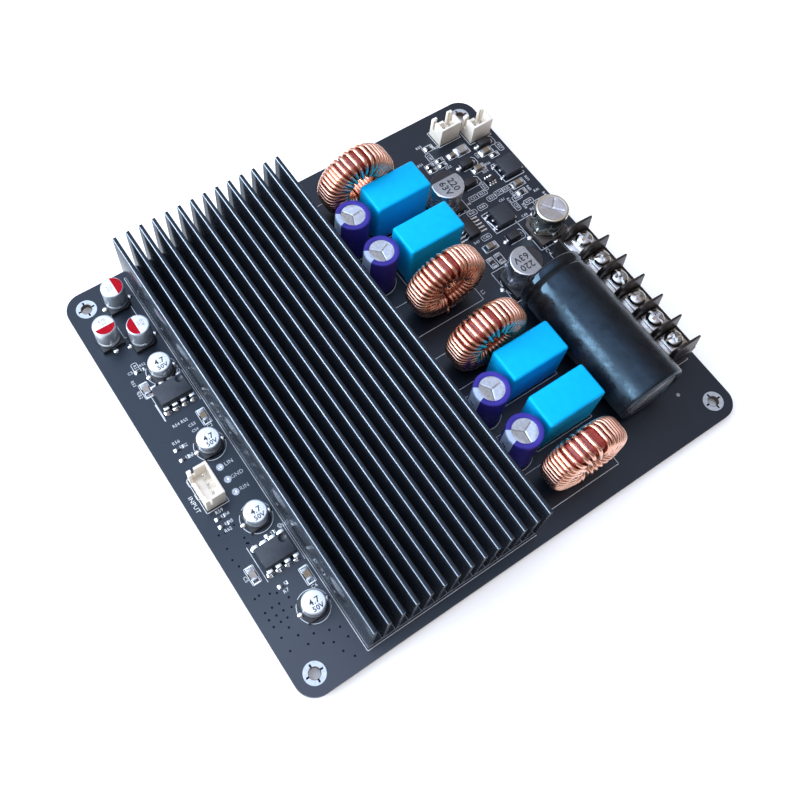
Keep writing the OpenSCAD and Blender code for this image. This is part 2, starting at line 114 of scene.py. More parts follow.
def board_surface():
    """Black solder mask: faint copper shapes under the mask on the faces, raw brown-grey laminate on the cut edges."""
    m = bpy.data.materials.new("solder_mask")
    m.use_nodes = True
    n, link = m.node_tree.nodes, m.node_tree.links.new
    p = n["Principled BSDF"]
    tc = n.new("ShaderNodeTexCoord")
    broad = n.new("ShaderNodeTexNoise")
    broad.inputs["Scale"].default_value = 55.0
    broad.inputs["Detail"].default_value = 3.0
    link(tc.outputs["Object"], broad.inputs["Vector"])
    mask = n.new("ShaderNodeValToRGB")
    mask.color_ramp.elements[0].position = 0.35
    mask.color_ramp.elements[1].position = 0.7
    mask.color_ramp.elements[0].color = (0.0045, 0.0065, 0.0120, 1)
    mask.color_ramp.elements[1].color = (0.0065, 0.0090, 0.0160, 1)
    link(broad.outputs["Fac"], mask.inputs["Fac"])
    cells = n.new("ShaderNodeTexVoronoi")
    cells.feature = "DISTANCE_TO_EDGE"
    cells.distance = "MANHATTAN" if hasattr(cells, "distance") else cells.distance
    cells.inputs["Scale"].default_value = 130.0
    link(tc.outputs["Object"], cells.inputs["Vector"])
    edge = n.new("ShaderNodeMapRange")
    edge.inputs["From Min"].default_value = 0.0
    edge.inputs["From Max"].default_value = 0.03
    edge.inputs["To Min"].default_value = 0.22
    edge.inputs["To Max"].default_value = 0.0
    link(cells.outputs["Distance"], edge.inputs["Value"])
    trace = n.new("ShaderNodeMix")
    trace.data_type = "RGBA"
    link(edge.outputs["Result"], trace.inputs["Factor"])
    link(mask.outputs["Color"], trace.inputs["A"])
    trace.inputs["B"].default_value = (0.013, 0.017, 0.027, 1)
    fibre = n.new("ShaderNodeTexNoise")
    fibre.inputs["Scale"].default_value = 1800.0
    link(tc.outputs["Object"], fibre.inputs["Vector"])
    cut = n.new("ShaderNodeValToRGB")
    cut.color_ramp.elements[0].color = (0.010, 0.009, 0.009, 1)
    cut.color_ramp.elements[1].color = (0.030, 0.025, 0.022, 1)
    link(fibre.outputs["Fac"], cut.inputs["Fac"])
    geo = n.new("ShaderNodeNewGeometry")
    xyz = n.new("ShaderNodeSeparateXYZ")
    link(geo.outputs["Normal"], xyz.inputs["Vector"])
    up = n.new("ShaderNodeMath")
    up.operation = "ABSOLUTE"
    link(xyz.outputs["Z"], up.inputs[0])
    side = n.new("ShaderNodeMix")
    side.data_type = "RGBA"
    link(up.outputs["Value"], side.inputs["Factor"])
    link(cut.outputs["Color"], side.inputs["A"])
    # a flat grey is added towards the near (+X, -Y) corner of the face
    where = n.new("ShaderNodeSeparateXYZ")
    spot = n.new("ShaderNodeNewGeometry")
    link(spot.outputs["Position"], where.inputs["Vector"])
    run = n.new("ShaderNodeMapRange")
    for k, v in (("From Min", 0.016), ("From Max", 0.046), ("To Min", 0.0), ("To Max", 1.0)):
        run.inputs[k].default_value = v
    link(where.outputs["X"], run.inputs["Value"])
    front = n.new("ShaderNodeMapRange")
    for k, v in (("From Min", -0.030), ("From Max", -0.052), ("To Min", 0.0), ("To Max", 1.0)):
        front.inputs[k].default_value = v
    link(where.outputs["Y"], front.inputs["Value"])
    both = n.new("ShaderNodeMath")
    both.operation = "MULTIPLY"
    link(run.outputs["Result"], both.inputs[0])
    link(front.outputs["Result"], both.inputs[1])
    near_corner_grey = n.new("ShaderNodeMix")
    near_corner_grey.data_type = "RGBA"
    near_corner_grey.blend_type = "ADD"
    link(both.outputs["Value"], near_corner_grey.inputs["Factor"])
    link(trace.outputs["Result"], near_corner_grey.inputs["A"])
    near_corner_grey.inputs["B"].default_value = (0.027, 0.026, 0.028, 1)
    link(near_corner_grey.outputs["Result"], side.inputs["B"])
    link(side.outputs["Result"], p.inputs["Base Color"])
    rr = n.new("ShaderNodeMapRange")
    rr.inputs["To Min"].default_value = 0.30
    rr.inputs["To Max"].default_value = 0.42
    link(fibre.outputs["Fac"], rr.inputs["Value"])
    link(rr.outputs["Result"], p.inputs["Roughness"])
    bp = n.new("ShaderNodeBump")
    bp.inputs["Strength"].default_value = 0.12
    bp.inputs["Distance"].default_value = 0.00002
    link(fibre.outputs["Fac"], bp.inputs["Height"])
    link(bp.outputs["Normal"], p.inputs["Normal"])
    p.inputs["IOR"].default_value = 1.52
    p.inputs["Specular Tint"].default_value = (0.80, 0.92, 1.0, 1)
    return m


def fin_surface():
    """Black anodised extrusion; a painted highlight lightens the key-facing upper edge facet of each fin."""
    m = surf("anodised_fins", (0.018, 0.021, 0.027), (0.026, 0.030, 0.037), 0.17, scale=900.0, spread=0.03, ior=1.60, tint=(0.72, 0.87, 1.0))
    n, link = m.node_tree.nodes, m.node_tree.links.new
    p = n["Principled BSDF"]
    plain = p.inputs["Base Color"].links[0].from_socket
    geo = n.new("ShaderNodeNewGeometry")
    dot = n.new("ShaderNodeVectorMath")
    dot.operation = "DOT_PRODUCT"
    dot.inputs[1].default_value = (0.0, -0.7071, 0.7071)
    link(geo.outputs["Normal"], dot.inputs[0])
    # painted highlight: the fin-tip facet facing the key light (normal near (0, -0.71, 0.71)) is coloured pale
    # blue-grey
    highlight_facet = n.new("ShaderNodeMapRange")
    highlight_facet.inputs["From Min"].default_value = 0.955
    highlight_facet.inputs["From Max"].default_value = 0.985
    link(dot.outputs["Value"], highlight_facet.inputs["Value"])
    highlight_noise = n.new("ShaderNodeTexNoise")
    highlight_noise.inputs["Scale"].default_value = 260.0
    highlight_noise.inputs["Detail"].default_value = 4.0
    link(n["Texture Coordinate"].outputs["Object"], highlight_noise.inputs["Vector"])
    highlight_colour = n.new("ShaderNodeValToRGB")
    highlight_colour.color_ramp.elements[0].position = 0.25
    highlight_colour.color_ramp.elements[1].position = 0.70
    highlight_colour.color_ramp.elements[0].color = (0.24, 0.29, 0.36, 1)
    highlight_colour.color_ramp.elements[1].color = (0.45, 0.52, 0.61, 1)
    link(highlight_noise.outputs["Fac"], highlight_colour.inputs["Fac"])
    mix = n.new("ShaderNodeMix")
    mix.data_type = "RGBA"
    link(highlight_facet.outputs["Result"], mix.inputs["Factor"])
    link(plain, mix.inputs["A"])
    link(highlight_colour.outputs["Color"], mix.inputs["B"])
    link(mix.outputs["Result"], p.inputs["Base Color"])
    # the painted highlight fades along the length towards +X
    along = n.new("ShaderNodeSeparateXYZ")
    link(n["Texture Coordinate"].outputs["Object"], along.inputs["Vector"])
    highlight_fade = n.new("ShaderNodeMapRange")
    for k, v in (("From Min", 0.010), ("From Max", 0.055), ("To Min", 1.0), ("To Max", 0.45)):
        highlight_fade.inputs[k].default_value = v
    link(along.outputs["X"], highlight_fade.inputs["Value"])
    part = n.new("ShaderNodeMath")
    part.operation = "MULTIPLY"
    link(highlight_facet.outputs["Result"], part.inputs[0])
    link(highlight_fade.outputs["Result"], part.inputs[1])
    link(part.outputs["Value"], mix.inputs["Factor"])
    # sawn flat tops shine less than the drawn side walls
    way = n.new("ShaderNodeSeparateXYZ")
    link(geo.outputs["Normal"], way.inputs["Vector"])
    flat = n.new("ShaderNodeMapRange")
    for k, v in (("From Min", 0.90), ("From Max", 0.99), ("To Min", 0.5), ("To Max", 0.06)):
        flat.inputs[k].default_value = v
    link(way.outputs["Z"], flat.inputs["Value"])
    # the outermost wall is dustier than the ones between the fins
    place_y = n.new("ShaderNodeSeparateXYZ")
    link(geo.outputs["Position"], place_y.inputs["Vector"])
    outer = n.new("ShaderNodeMapRange")
    for k, v in (("From Min", -0.05170), ("From Max", -0.05160), ("To Min", 0.88), ("To Max", 1.0)):
        outer.inputs[k].default_value = v
    link(place_y.outputs["Y"], outer.inputs["Value"])
    shine = n.new("ShaderNodeMath")
    shine.operation = "MULTIPLY"
    link(flat.outputs["Result"], shine.inputs[0])
    link(outer.outputs["Result"], shine.inputs[1])
    link(shine.outputs["Value"], p.inputs["Specular IOR Level"])
    rough = n.new("ShaderNodeMapRange")
    for k, v in (("From Min", 0.05), ("From Max", 0.50), ("To Min", 0.17), ("To Max", 0.20)):
        rough.inputs[k].default_value = v
    link(way.outputs["Z"], rough.inputs["Value"])
    link(rough.outputs["Result"], p.inputs["Roughness"])
    return m


def sleeve_surface():
    """Shrunk black film: glossy round the bead, dusty and cloudy along the barrel."""
    m = surf("black_sleeve", (0.0060, 0.0060, 0.0068), (0.0110, 0.0108, 0.0120), 0.32, scale=420.0, bump=0.22, bscale=1500.0, bdist=0.03, ior=1.52, tint=(0.44, 0.73, 1.0))
    n, link = m.node_tree.nodes, m.node_tree.links.new
    p = n["Principled BSDF"]
    fine = p.inputs["Roughness"].links[0].from_socket
    tc = n["Texture Coordinate"]
    xyz = n.new("ShaderNodeSeparateXYZ")
    link(tc.outputs["Object"], xyz.inputs["Vector"])
    cloud = n.new("ShaderNodeTexNoise")
    cloud.inputs["Scale"].default_value = 190.0
    cloud.inputs["Detail"].default_value = 4.0
    cloud.inputs["Roughness"].default_value = 0.62
    link(tc.outputs["Object"], cloud.inputs["Vector"])
    dusty = n.new("ShaderNodeMapRange")
    dusty.inputs["From Min"].default_value = 0.36
    dusty.inputs["From Max"].default_value = 0.64
    dusty.inputs["To Min"].default_value = -0.13
    dusty.inputs["To Max"].default_value = 0.16
    link(cloud.outputs["Fac"], dusty.inputs["Value"])
    add = n.new("ShaderNodeMath")
    link(fine, add.inputs[0])
    link(dusty.outputs["Result"], add.inputs[1])
    along = n.new("ShaderNodeMapRange")
    along.inputs["From Min"].default_value = 0.0105
    along.inputs["From Max"].default_value = 0.0150
    along.inputs["To Min"].default_value = 0.0
    along.inputs["To Max"].default_value = 1.0
    link(xyz.outputs["X"], along.inputs["Value"])
    mix = n.new("ShaderNodeMix")
    mix.data_type = "FLOAT"
    link(along.outputs["Result"], mix.inputs["Factor"])
    mix.inputs["A"].default_value = 0.09
    link(add.outputs["Value"], mix.inputs["B"])
    link(mix.outputs["Result"], p.inputs["Roughness"])
    geo = n.new("ShaderNodeNewGeometry")
    nrm = n.new("ShaderNodeSeparateXYZ")
    link(geo.outputs["Normal"], nrm.inputs["Vector"])
    dull = n.new("ShaderNodeMapRange")
    dull.inputs["From Min"].default_value = 0.60
    dull.inputs["From Max"].default_value = 0.92
    dull.inputs["To Min"].default_value = 0.74
    dull.inputs["To Max"].default_value = 0.24
    link(nrm.outputs["Z"], dull.inputs["Value"])
    link(dull.outputs["Result"], p.inputs["Specular IOR Level"])
    return m


M = {
    "mask": board_surface(),
    "anodised": fin_surface(),
    "silk": surf("silk_ink", (0.60, 0.61, 0.61), (0.72, 0.73, 0.73), 0.55, scale=2500.0, bump=0.1),
    "tin": surf("tinned_pad", (0.30, 0.31, 0.32), (0.42, 0.43, 0.44), 0.36, metal=1.0, scale=1500.0, bump=0.2, bscale=2600.0, bdist=0.05),
    "solder": surf("bright_solder", (0.66, 0.67, 0.68), (0.88, 0.88, 0.88), 0.18, metal=1.0, scale=1200.0, bump=0.2, bscale=1800.0, bdist=0.06),
    "lead": surf("tinned_lead", (0.62, 0.62, 0.61), (0.82, 0.82, 0.80), 0.24, metal=1.0, scale=1800.0, bump=0.1),
    "copper": surf("enamelled_copper", (0.68, 0.32, 0.20), (0.92, 0.52, 0.37), 0.27, metal=1.0, scale=160.0, spread=0.02,
                   coat=1.0, coat_rough=0.12),
    "core": surf("red_core_coat", (0.23, 0.022, 0.016), (0.36, 0.045, 0.032), 0.34, scale=900.0, bump=0.45, bscale=1500.0, bdist=0.06),
    "film": surf("blue_moulding", (0.0025, 0.42, 0.80), (0.0035, 0.46, 0.86), 0.42, scale=500.0, spread=0.05, bump=0.08, bscale=5200.0, bdist=0.012,
                 tint=(0.08, 0.75, 1.0)),
    "epoxy": surf("potting", (0.006, 0.10, 0.36), (0.010, 0.14, 0.46), 0.30, scale=700.0, bump=0.2),
    "violet": surf("violet_sleeve", (0.040, 0.030, 0.270), (0.052, 0.040, 0.330), 0.34, scale=260.0, spread=0.05, bump=0.10, bscale=900.0, bdist=0.03, ior=1.42, tint=(0.55, 0.60, 1.0)),
    "stripe": surf("pale_stripe", (0.52, 0.66, 0.88), (0.62, 0.76, 0.94), 0.30, scale=900.0, bump=0.08),
    "ink_white": surf("sleeve_print", (0.55, 0.58, 0.70), (0.70, 0.72, 0.82), 0.4, scale=1500.0),
    "disc": surf("scored_aluminium", (0.44, 0.49, 0.53), (0.58, 0.64, 0.69), 0.30, metal=1.0, scale=1100.0, bump=0.2, bscale=1400.0, bdist=0.03),
    "can": surf("drawn_can", (0.64, 0.65, 0.67), (0.78, 0.79, 0.81), 0.28, metal=1.0, scale=1.0, spread=0.05, bump=0.05, bscale=1.6, bdist=0.02, stretch=(300, 300, 2600)),
    "can_pale": surf("pale_can", (0.58, 0.62, 0.67), (0.70, 0.74, 0.79), 0.34, metal=0.80, scale=1.0, spread=0.05, bump=0.05, bscale=1.6, bdist=0.02, stretch=(300, 300, 2600)),
    "mirror_can": surf("polished_can", (0.62, 0.62, 0.52), (0.72, 0.72, 0.62), 0.17, metal=1.0, scale=300.0, spread=0.02),
    "can_top": surf("can_top", (0.50, 0.51, 0.52), (0.62, 0.63, 0.64), 0.36, metal=1.0, scale=1700.0, bump=0.14, bscale=3200.0, bdist=0.02),
    "white_top": surf("lacquered_top", (0.72, 0.73, 0.76), (0.80, 0.81, 0.84), 0.30, metal=0.25, scale=1300.0, bump=0.06),
    "grey_top": surf("grey_top", (0.30, 0.30, 0.30), (0.37, 0.37, 0.37), 0.34, metal=0.3, scale=1300.0, bump=0.08),
    "red_print": surf("red_print", (0.36, 0.004, 0.012), (0.45, 0.007, 0.018), 0.55, scale=1200.0, bump=0.06, ior=1.25, tint=(1.0, 0.25, 0.30)),
    "black_print": surf("black_print", (0.012, 0.012, 0.013), (0.022, 0.022, 0.024), 0.4, scale=1500.0),
    "grey_print": surf("grey_print", (0.20, 0.17, 0.20), (0.27, 0.24, 0.27), 0.45, scale=1500.0),
    "base": surf("can_base", (0.008, 0.008, 0.009), (0.016, 0.016, 0.017), 0.45, scale=1200.0, bump=0.2),
    "base_brown": surf("can_base_brown", (0.055, 0.042, 0.036), (0.085, 0.068, 0.058), 0.42, scale=1200.0, bump=0.2),
    "black_sleeve": sleeve_surface(),
    "bung": surf("rubber_bung", (0.010, 0.010, 0.011), (0.022, 0.022, 0.023), 0.6, scale=900.0, bump=0.3),
    "chip": surf("moulded_chip", (0.016, 0.020, 0.026), (0.026, 0.031, 0.039), 0.44, scale=1600.0, bump=0.3, bscale=5200.0, bdist=0.015),
    "chip_dark": surf("moulded_part", (0.008, 0.008, 0.009), (0.016, 0.016, 0.017), 0.40, scale=1600.0, bump=0.3, bscale=5200.0, bdist=0.015),
    "ceramic": surf("tan_ceramic", (0.15, 0.105, 0.062), (0.21, 0.155, 0.098), 0.36, scale=1500.0, bump=0.15),
    "ceramic_grey": surf("grey_ceramic", (0.24, 0.20, 0.17), (0.31, 0.27, 0.23), 0.36, scale=1500.0, bump=0.15),
    "resistor": surf("resistor_glaze", (0.010, 0.010, 0.012), (0.020, 0.020, 0.023), 0.25, scale=1500.0, bump=0.08),
    "ivory": surf("ivory_nylon", (0.80, 0.73, 0.62), (0.88, 0.81, 0.70), 0.38, scale=420.0, spread=0.05, bump=0.10, bscale=2200.0, bdist=0.02),
    "terminal": surf("terminal_moulding", (0.0075, 0.0062, 0.0058), (0.0135, 0.0110, 0.0100), 0.36, scale=800.0, spread=0.05, bump=0.14, bscale=2600.0, bdist=0.02, tint=(1.0, 0.88, 0.80)),
    "plate": surf("nickel_plate", (0.48, 0.47, 0.45), (0.66, 0.65, 0.62), 0.20, metal=1.0, scale=800.0, spread=0.06, bump=0.12, bscale=1700.0, bdist=0.03),
    "screw": surf("plated_screw", (0.42, 0.42, 0.41), (0.64, 0.64, 0.62), 0.08, metal=1.0, scale=900.0, spread=0.05, bump=0.55, bscale=900.0, bdist=0.08),
    "steel": surf("zinc_screw", (0.42, 0.39, 0.37), (0.55, 0.52, 0.49), 0.36, metal=1.0, scale=1500.0, bump=0.2),
    "pad_grey": surf("thermal_pad_face", (0.28, 0.28, 0.30), (0.36, 0.36, 0.38), 0.7, scale=900.0, bump=0.3),
    "via": surf("via_pit", (0.0025, 0.003, 0.005), (0.005, 0.006, 0.009), 0.5, scale=2500.0),
    "barrel_copper_and_shade": surf("plated_barrel_and_shade", (0.07, 0.045, 0.034), (0.12, 0.08, 0.06), 0.45, metal=0.5, scale=2500.0),
    "tin_ring": surf("levelled_tin", (0.44, 0.48, 0.50), (0.56, 0.59, 0.61), 0.42, metal=0.7, scale=1500.0, bump=0.2, bscale=2600.0, bdist=0.05),
}


# ---------------------------------------------------------------- mesh tools (all in mm)

class Mesh:
    def __init__(self):
        self.v, self.f, self.m = [], [], []

    def add(self, verts, faces, mat=0, at=None):
        o = len(self.v)
        if at is not None:
            verts = [at @ Vector(p) for p in verts]
        self.v += [(p[0], p[1], p[2]) for p in verts]
        self.f += [tuple(i + o for i in f) for f in faces]
        self.m += list(mat) if isinstance(mat, (list, tuple)) else [mat] * len(faces)

    def bm(self, b, mat=0, at=None):
        b.verts.index_update()
        self.add([v.co.copy() for v in b.verts], [[v.index for v in f.verts] for f in b.faces], mat, at)
        b.free()

    def piece(self, name, mats, body="board", nodes=(), slot=None, sharp=33.0):
        me = bpy.data.meshes.new(name)
        me.from_pydata([(x * 0.001, y * 0.001, z * 0.001) for x, y, z in self.v], [], self.f)
        for k in mats:
            me.materials.append(M[k])
        me.polygons.foreach_set("material_index", self.m)
        b = bmesh.new()
        b.from_mesh(me)
        bmesh.ops.recalc_face_normals(b, faces=b.faces[:])
        lim = math.radians(sharp)
        for f in b.faces:
            f.smooth = True
        for e in b.edges:
            if len(e.link_faces) == 2 and e.calc_face_angle(0.0) > lim:
                e.smooth = False
        b.to_mesh(me)
        b.free()
        ob = bpy.data.objects.new(name, me)
        SCENE.collection.objects.link(ob)
        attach(ob, body)
        if nodes:
            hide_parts(*nodes)
        return ob


def place(x=0.0, y=0.0, z=0.0, turn=0.0):
    return Matrix.Translation((x, y, z)) @ Matrix.Rotation(math.radians(turn), 4, "Z")


ALONG_X = Matrix.Rotation(PI / 2, 4, "Y")      # z axis -> +x


def bevel(b, size, seg=2, angle=20.0):
    if size <= 0:
        return
    b.normal_update()
    es = [e for e in b.edges if len(e.link_faces) == 2 and e.calc_face_angle(0.0) > math.radians(angle)]
    bmesh.ops.bevel(b, geom=es, offset=size, segments=seg, profile=0.5, affect="EDGES", clamp_overlap=True)


def box_bm(w, l, h, bev=0.1, seg=2):
    b = bmesh.new()
    bmesh.ops.create_cube(b, size=1.0)
    for v in b.verts:
        v.co = Vector((v.co.x * w, v.co.y * l, (v.co.z + 0.5) * h))
    bevel(b, bev, seg)
    return b


def prism_bm(pts, z0, z1, bev=0.0, seg=2):
    b = bmesh.new()
    lo = [b.verts.new((x, y, z0)) for x, y in pts]
    hi = [b.verts.new((x, y, z1)) for x, y in pts]
    b.faces.new(lo[::-1])
    b.faces.new(hi)
    n = len(pts)
    for i in range(n):
        b.faces.new((lo[i], lo[(i + 1) % n], hi[(i + 1) % n], hi[i]))
    bmesh.ops.recalc_face_normals(b, faces=b.faces[:])
    bevel(b, bev, seg)
    return b


def rbox(m, x, y, z, w, l, h, bev=0.1, seg=2, mat=0, turn=0.0):
    m.bm(box_bm(w, l, h, bev, seg), mat, place(x, y, z, turn))


def slab(m, x, y, z, w, l, h, mat=0, turn=0.0):
    a, c = w / 2, l / 2
    v = [(-a, -c, 0), (a, -c, 0), (a, c, 0), (-a, c, 0), (-a, -c, h), (a, -c, h), (a, c, h), (-a, c, h)]
    f = [(3, 2, 1, 0), (4, 5, 6, 7), (0, 1, 5, 4), (1, 2, 6, 5), (2, 3, 7, 6), (3, 0, 4, 7)]
    m.add(v, f, mat, place(x, y, z, turn))


def lathe(m, prof, at, seg=48, mat=0, pick=None):
    """Closed turned solid; prof is (r, z) from the foot of the axis to its top, r = 0 at both ends."""
    v, rows = [], []
    for r, z in prof:
        if r < 1e-9:
            rows.append([len(v)])
            v.append((0, 0, z))
        else:
            rows.append(list(range(len(v), len(v) + seg)))
            v += [(r * math.cos(2 * PI * i / seg), r * math.sin(2 * PI * i / seg), z) for i in range(seg)]
    f, mm = [], []
    for k in range(len(rows) - 1):
        a, c = rows[k], rows[k + 1]
        if len(a) == 1 and len(c) == 1:
            continue
        for i in range(seg):
            j = (i + 1) % seg
            if len(a) == 1:
                f.append((a[0], c[j], c[i]))
            elif len(c) == 1:
                f.append((a[i], a[j], c[0]))
            else:
                f.append((a[i], a[j], c[j], c[i]))
            mm.append(pick(k, 2 * PI * (i + 0.5) / seg) if pick else mat)
    m.add(v, f, mm, at)


def ring(m, r0, r1, z0, z1, at, seg=32, mat=0):
    """Flat annulus with a small thickness."""
    v, f = [], []
    for i in range(seg):
        c, s = math.cos(2 * PI * i / seg), math.sin(2 * PI * i / seg)
        v += [(r0 * c, r0 * s, z0), (r1 * c, r1 * s, z0), (r1 * c, r1 * s, z1), (r0 * c, r0 * s, z1)]
    for i in range(seg):
        a, b = 4 * i, 4 * ((i + 1) % seg)
        for k in range(4):
            q = (k + 1) % 4
            f.append((a + k, b + k, b + q, a + q))
    m.add(v, f, mat, at)


def arc(cx, cz, r, a0, a1, n):
    return [(cx + r * math.cos(math.radians(a0 + (a1 - a0) * i / n)), cz + r * math.sin(math.radians(a0 + (a1 - a0) * i / n))) for i in range(n + 1)]


def tube(m, pts, r, sides=10, mat=0):
    pts = [Vector(p) for p in pts]
    n = len(pts)
    t = [(pts[min(i + 1, n - 1)] - pts[max(i - 1, 0)]).normalized() for i in range(n)]
    u = t[0].orthogonal().normalized()
    v, f = [], []
    for i in range(n):
        u = (u - t[i] * u.dot(t[i])).normalized()
        w = t[i].cross(u)
        for k in range(sides):
            a = 2 * PI * k / sides
            v.append(pts[i] + (u * math.cos(a) + w * math.sin(a)) * r)
    for i in range(n - 1):
        for k in range(sides):
            q = (k + 1) % sides
            f.append((i * sides + k, i * sides + q, (i + 1) * sides + q, (i + 1) * sides + k))
    f.append(tuple(range(sides))[::-1])
    f.append(tuple((n - 1) * sides + k for k in range(sides)))
    m.add(v, f, mat)


def post(m, x, y, r, z1, mat=0, z0=DROP, sides=14):
    """Round lead with a slightly rounded lower end."""
    lathe(m, [(0, z0), (r * 0.7, z0), (r, z0 + r * 0.35), (r, z1), (0, z1)], place(x, y), sides, mat)


GLYPHS = {}


def letters(m, text, x, y, z, size, turn=0.0, mat=0, depth=0.012, at=None, bold=0.0):
    key = (text, size, depth, bold)
    if key not in GLYPHS:
        cu = bpy.data.curves.new("lettering", "FONT")
        cu.body = text
        cu.size = size
        cu.align_x = "CENTER"
        cu.align_y = "CENTER"
        cu.extrude = depth
        cu.offset = bold
        cu.resolution_u = 2
        cu.space_character = 1.05
        ob = bpy.data.objects.new("lettering", cu)
        SCENE.collection.objects.link(ob)
        me = bpy.data.meshes.new_from_object(ob.evaluated_get(bpy.context.evaluated_depsgraph_get()))
        b = bmesh.new()
        b.from_mesh(me)
        bmesh.ops.remove_doubles(b, verts=b.verts[:], dist=1e-5)
        b.verts.index_update()
        GLYPHS[key] = ([v.co.copy() for v in b.verts], [[v.index for v in f.verts] for f in b.faces])
        b.free()
        bpy.data.objects.remove(ob)
        bpy.data.curves.remove(cu)
        bpy.data.meshes.remove(me)
    vs, fs = GLYPHS[key]
    m.add(vs, fs, mat, (at or Matrix.Identity(4)) @ place(x, y, z, turn))


def cut(solid, cutters):
    """Difference of meshes; all are bmeshes, and the result is a new bmesh."""
    def hold(b, name):
        me = bpy.data.meshes.new(name)
        b.to_mesh(me)
        b.free()
        ob = bpy.data.objects.new(name, me)
        SCENE.collection.objects.link(ob)
        return ob
    a = hold(solid, "cut_solid")
    tools = [hold(c, "cut_tool") for c in cutters]
    for t in tools:
        md = a.modifiers.new("cut", "BOOLEAN")
        md.operation = "DIFFERENCE"
        md.solver = "EXACT"
        md.object = t
    me = bpy.data.meshes.new_from_object(a.evaluated_get(bpy.context.evaluated_depsgraph_get()))
    out = bmesh.new()
    out.from_mesh(me)
    bpy.data.meshes.remove(me)
    for o in [a] + tools:
        d = o.data
        bpy.data.objects.remove(o)
        bpy.data.meshes.remove(d)
    bmesh.ops.remove_doubles(out, verts=out.verts[:], dist=1e-4)
    return out


def cyl_bm(r, z0, z1, seg=32, x=0.0, y=0.0):
    return prism_bm([(x + r * math.cos(2 * PI * i / seg), y + r * math.sin(2 * PI * i / seg)) for i in range(seg)], z0, z1)


def moved(b, at):
    b.transform(at)
    return b


# ---------------------------------------------------------------- places (mm), as in the CAD

FILM = [(-38.6, 24.7), (-22.3, 24.6), (23.3, 24.7), (38.5, 24.5)]
OUT = [(-36.7, 8.8), (-22.8, 8.9), (26.6, 9.2), (40.4, 9.1)]
RINGS = [(-48.1, 17.6), (-6.9, 19.5), (12.3, 18.9), (52.7, 19.1)]
RAIL = [(-34.1, 40.7), (-1.1, 44.2)]
SUPPLY = (-11.2, 61.8)
POLY = [(-56.0, -57.3), (-46.7, -64.6), (-42.0, -56.9)]
COUP = [(-30.9, -57.1), (-5.0, -57.1), (18.4, -57.1), (45.3, -57.1)]
AMPS = [(-23.0, -57.9), (29.0, -57.9)]
HEADER = (5.5, -63.8)
AUX = [(-55.3, 56.5), (-51.1, 65.5)]
PADS = [(1.75, -58.0), (5.7, -58.0), (9.7, -58.0)]
# the via material's specular is cut so the via discs stay near-black as painted shade
M["via"].node_tree.nodes["Principled BSDF"].inputs["Specular IOR Level"].default_value = 0.05
SINK_SCREWS = [(-51.2, -25.85), (-0.4, -25.85), (51.2, -25.85)]
WAYS = [21.1 + 7.62 * (i - 2.5) for i in range(6)]
WALLS = [21.1 + 7.62 * (i - 3) for i in range(7)]


# ---------------------------------------------------------------- board and heatsink

NODE["circuit_board"].data.materials.clear()
NODE["circuit_board"].data.materials.append(M["mask"])


def heatsink():
    y0, pitch, h, zb, zt, fl = -51.2, 3.9, 0.55, 5.1, 22.1, 0.5
    pts = [(y0 - h, TOP), (y0 - h, zb + fl)]
    fins = []
    for k in range(14):
        y = y0 + k * pitch
        if k:
            pts += arc(y - h - fl, zb + fl, fl, -90, 0, 4)
        lo = len(pts) - 1
        pts += [(y - h, zt - 0.19), (y - h + 0.015, zt - 0.17), (y - h + 0.165, zt - 0.015), (y - h + 0.19, zt)]
        pts += arc(y + h - 0.18, zt - 0.18, 0.18, 90, 0, 3)
        fins.append((lo, len(pts)))
        pts += arc(y + h + fl, zb + fl, fl, 180, 270, 4) if k < 13 else [(y + h, zb + fl)]
    pts.append((y0 + 13 * pitch + h, TOP))
    n = len(pts)
    foot = [i for i in range(n) if not any(lo < i < hi for lo, hi in fins)]
    bmx = bmesh.new()
    rows = [[bmx.verts.new((x, y, z)) for y, z in pts] for x in (-61.8, 61.2)]
    for i in range(n):
        j = (i + 1) % n
        bmx.faces.new((rows[0][i], rows[0][j], rows[1][j], rows[1][i]))
    # both sawn ends, one face to each fin and one to the foot
    for row in rows:
        bmx.faces.new([row[i] for i in foot])
        for lo, hi in fins:
            bmx.faces.new(row[lo:hi + 1])
    bmesh.ops.recalc_face_normals(bmx, faces=bmx.faces[:])
    tools = [moved(box_bm(18, 12, 3.3, 0), place(13.5, -22.0, 0.0))]
    tools += [cyl_bm(1.25, 0.0, 7.5, 24, x, y) for x, y in SINK_SCREWS]
    m = Mesh()
    m.bm(cut(bmx, tools))
    m.piece("heatsink_extrusion", ["anodised"], nodes=["heatsink"], slot="anodised_black", sharp=40)


heatsink()

m = Mesh()
for x, y in SINK_SCREWS:
    head = [(0, DROP), (1.75, DROP), (2.1, DROP + 0.25), (2.25, DROP + 0.8), (2.25, -0.05), (2.2, 0.0), (1.22, 0.0),
            (1.22, 5.40), (0.95, 5.7), (0, 5.7)]
    t = Mesh()
    lathe(t, head, place(), 32)
    b = bmesh.new()
    vs = [b.verts.new(p) for p in t.v]
    for f in t.f:
        b.faces.new([vs[i] for i in f])
    bmesh.ops.recalc_face_normals(b, faces=b.faces[:])
    b = cut(b, [moved(box_bm(2.6, 0.6, 1.9, 0), place(0, 0, DROP - 1)), moved(box_bm(0.6, 2.6, 1.9, 0), place(0, 0, DROP - 1))])
    m.bm(b, 0, place(x, y, 0, 20))
m.piece("heatsink_screw_set", ["steel"], nodes=["heatsink_screws"], slot="zinc_steel")

for name, key in (("amplifier_chip", "chip"), ("thermal_pad", "pad_grey"), ("solder_joints", "solder")):
    NODE[name].data.materials.clear()
    NODE[name].data.materials.append(M[key])


# ---------------------------------------------------------------- ring inductors

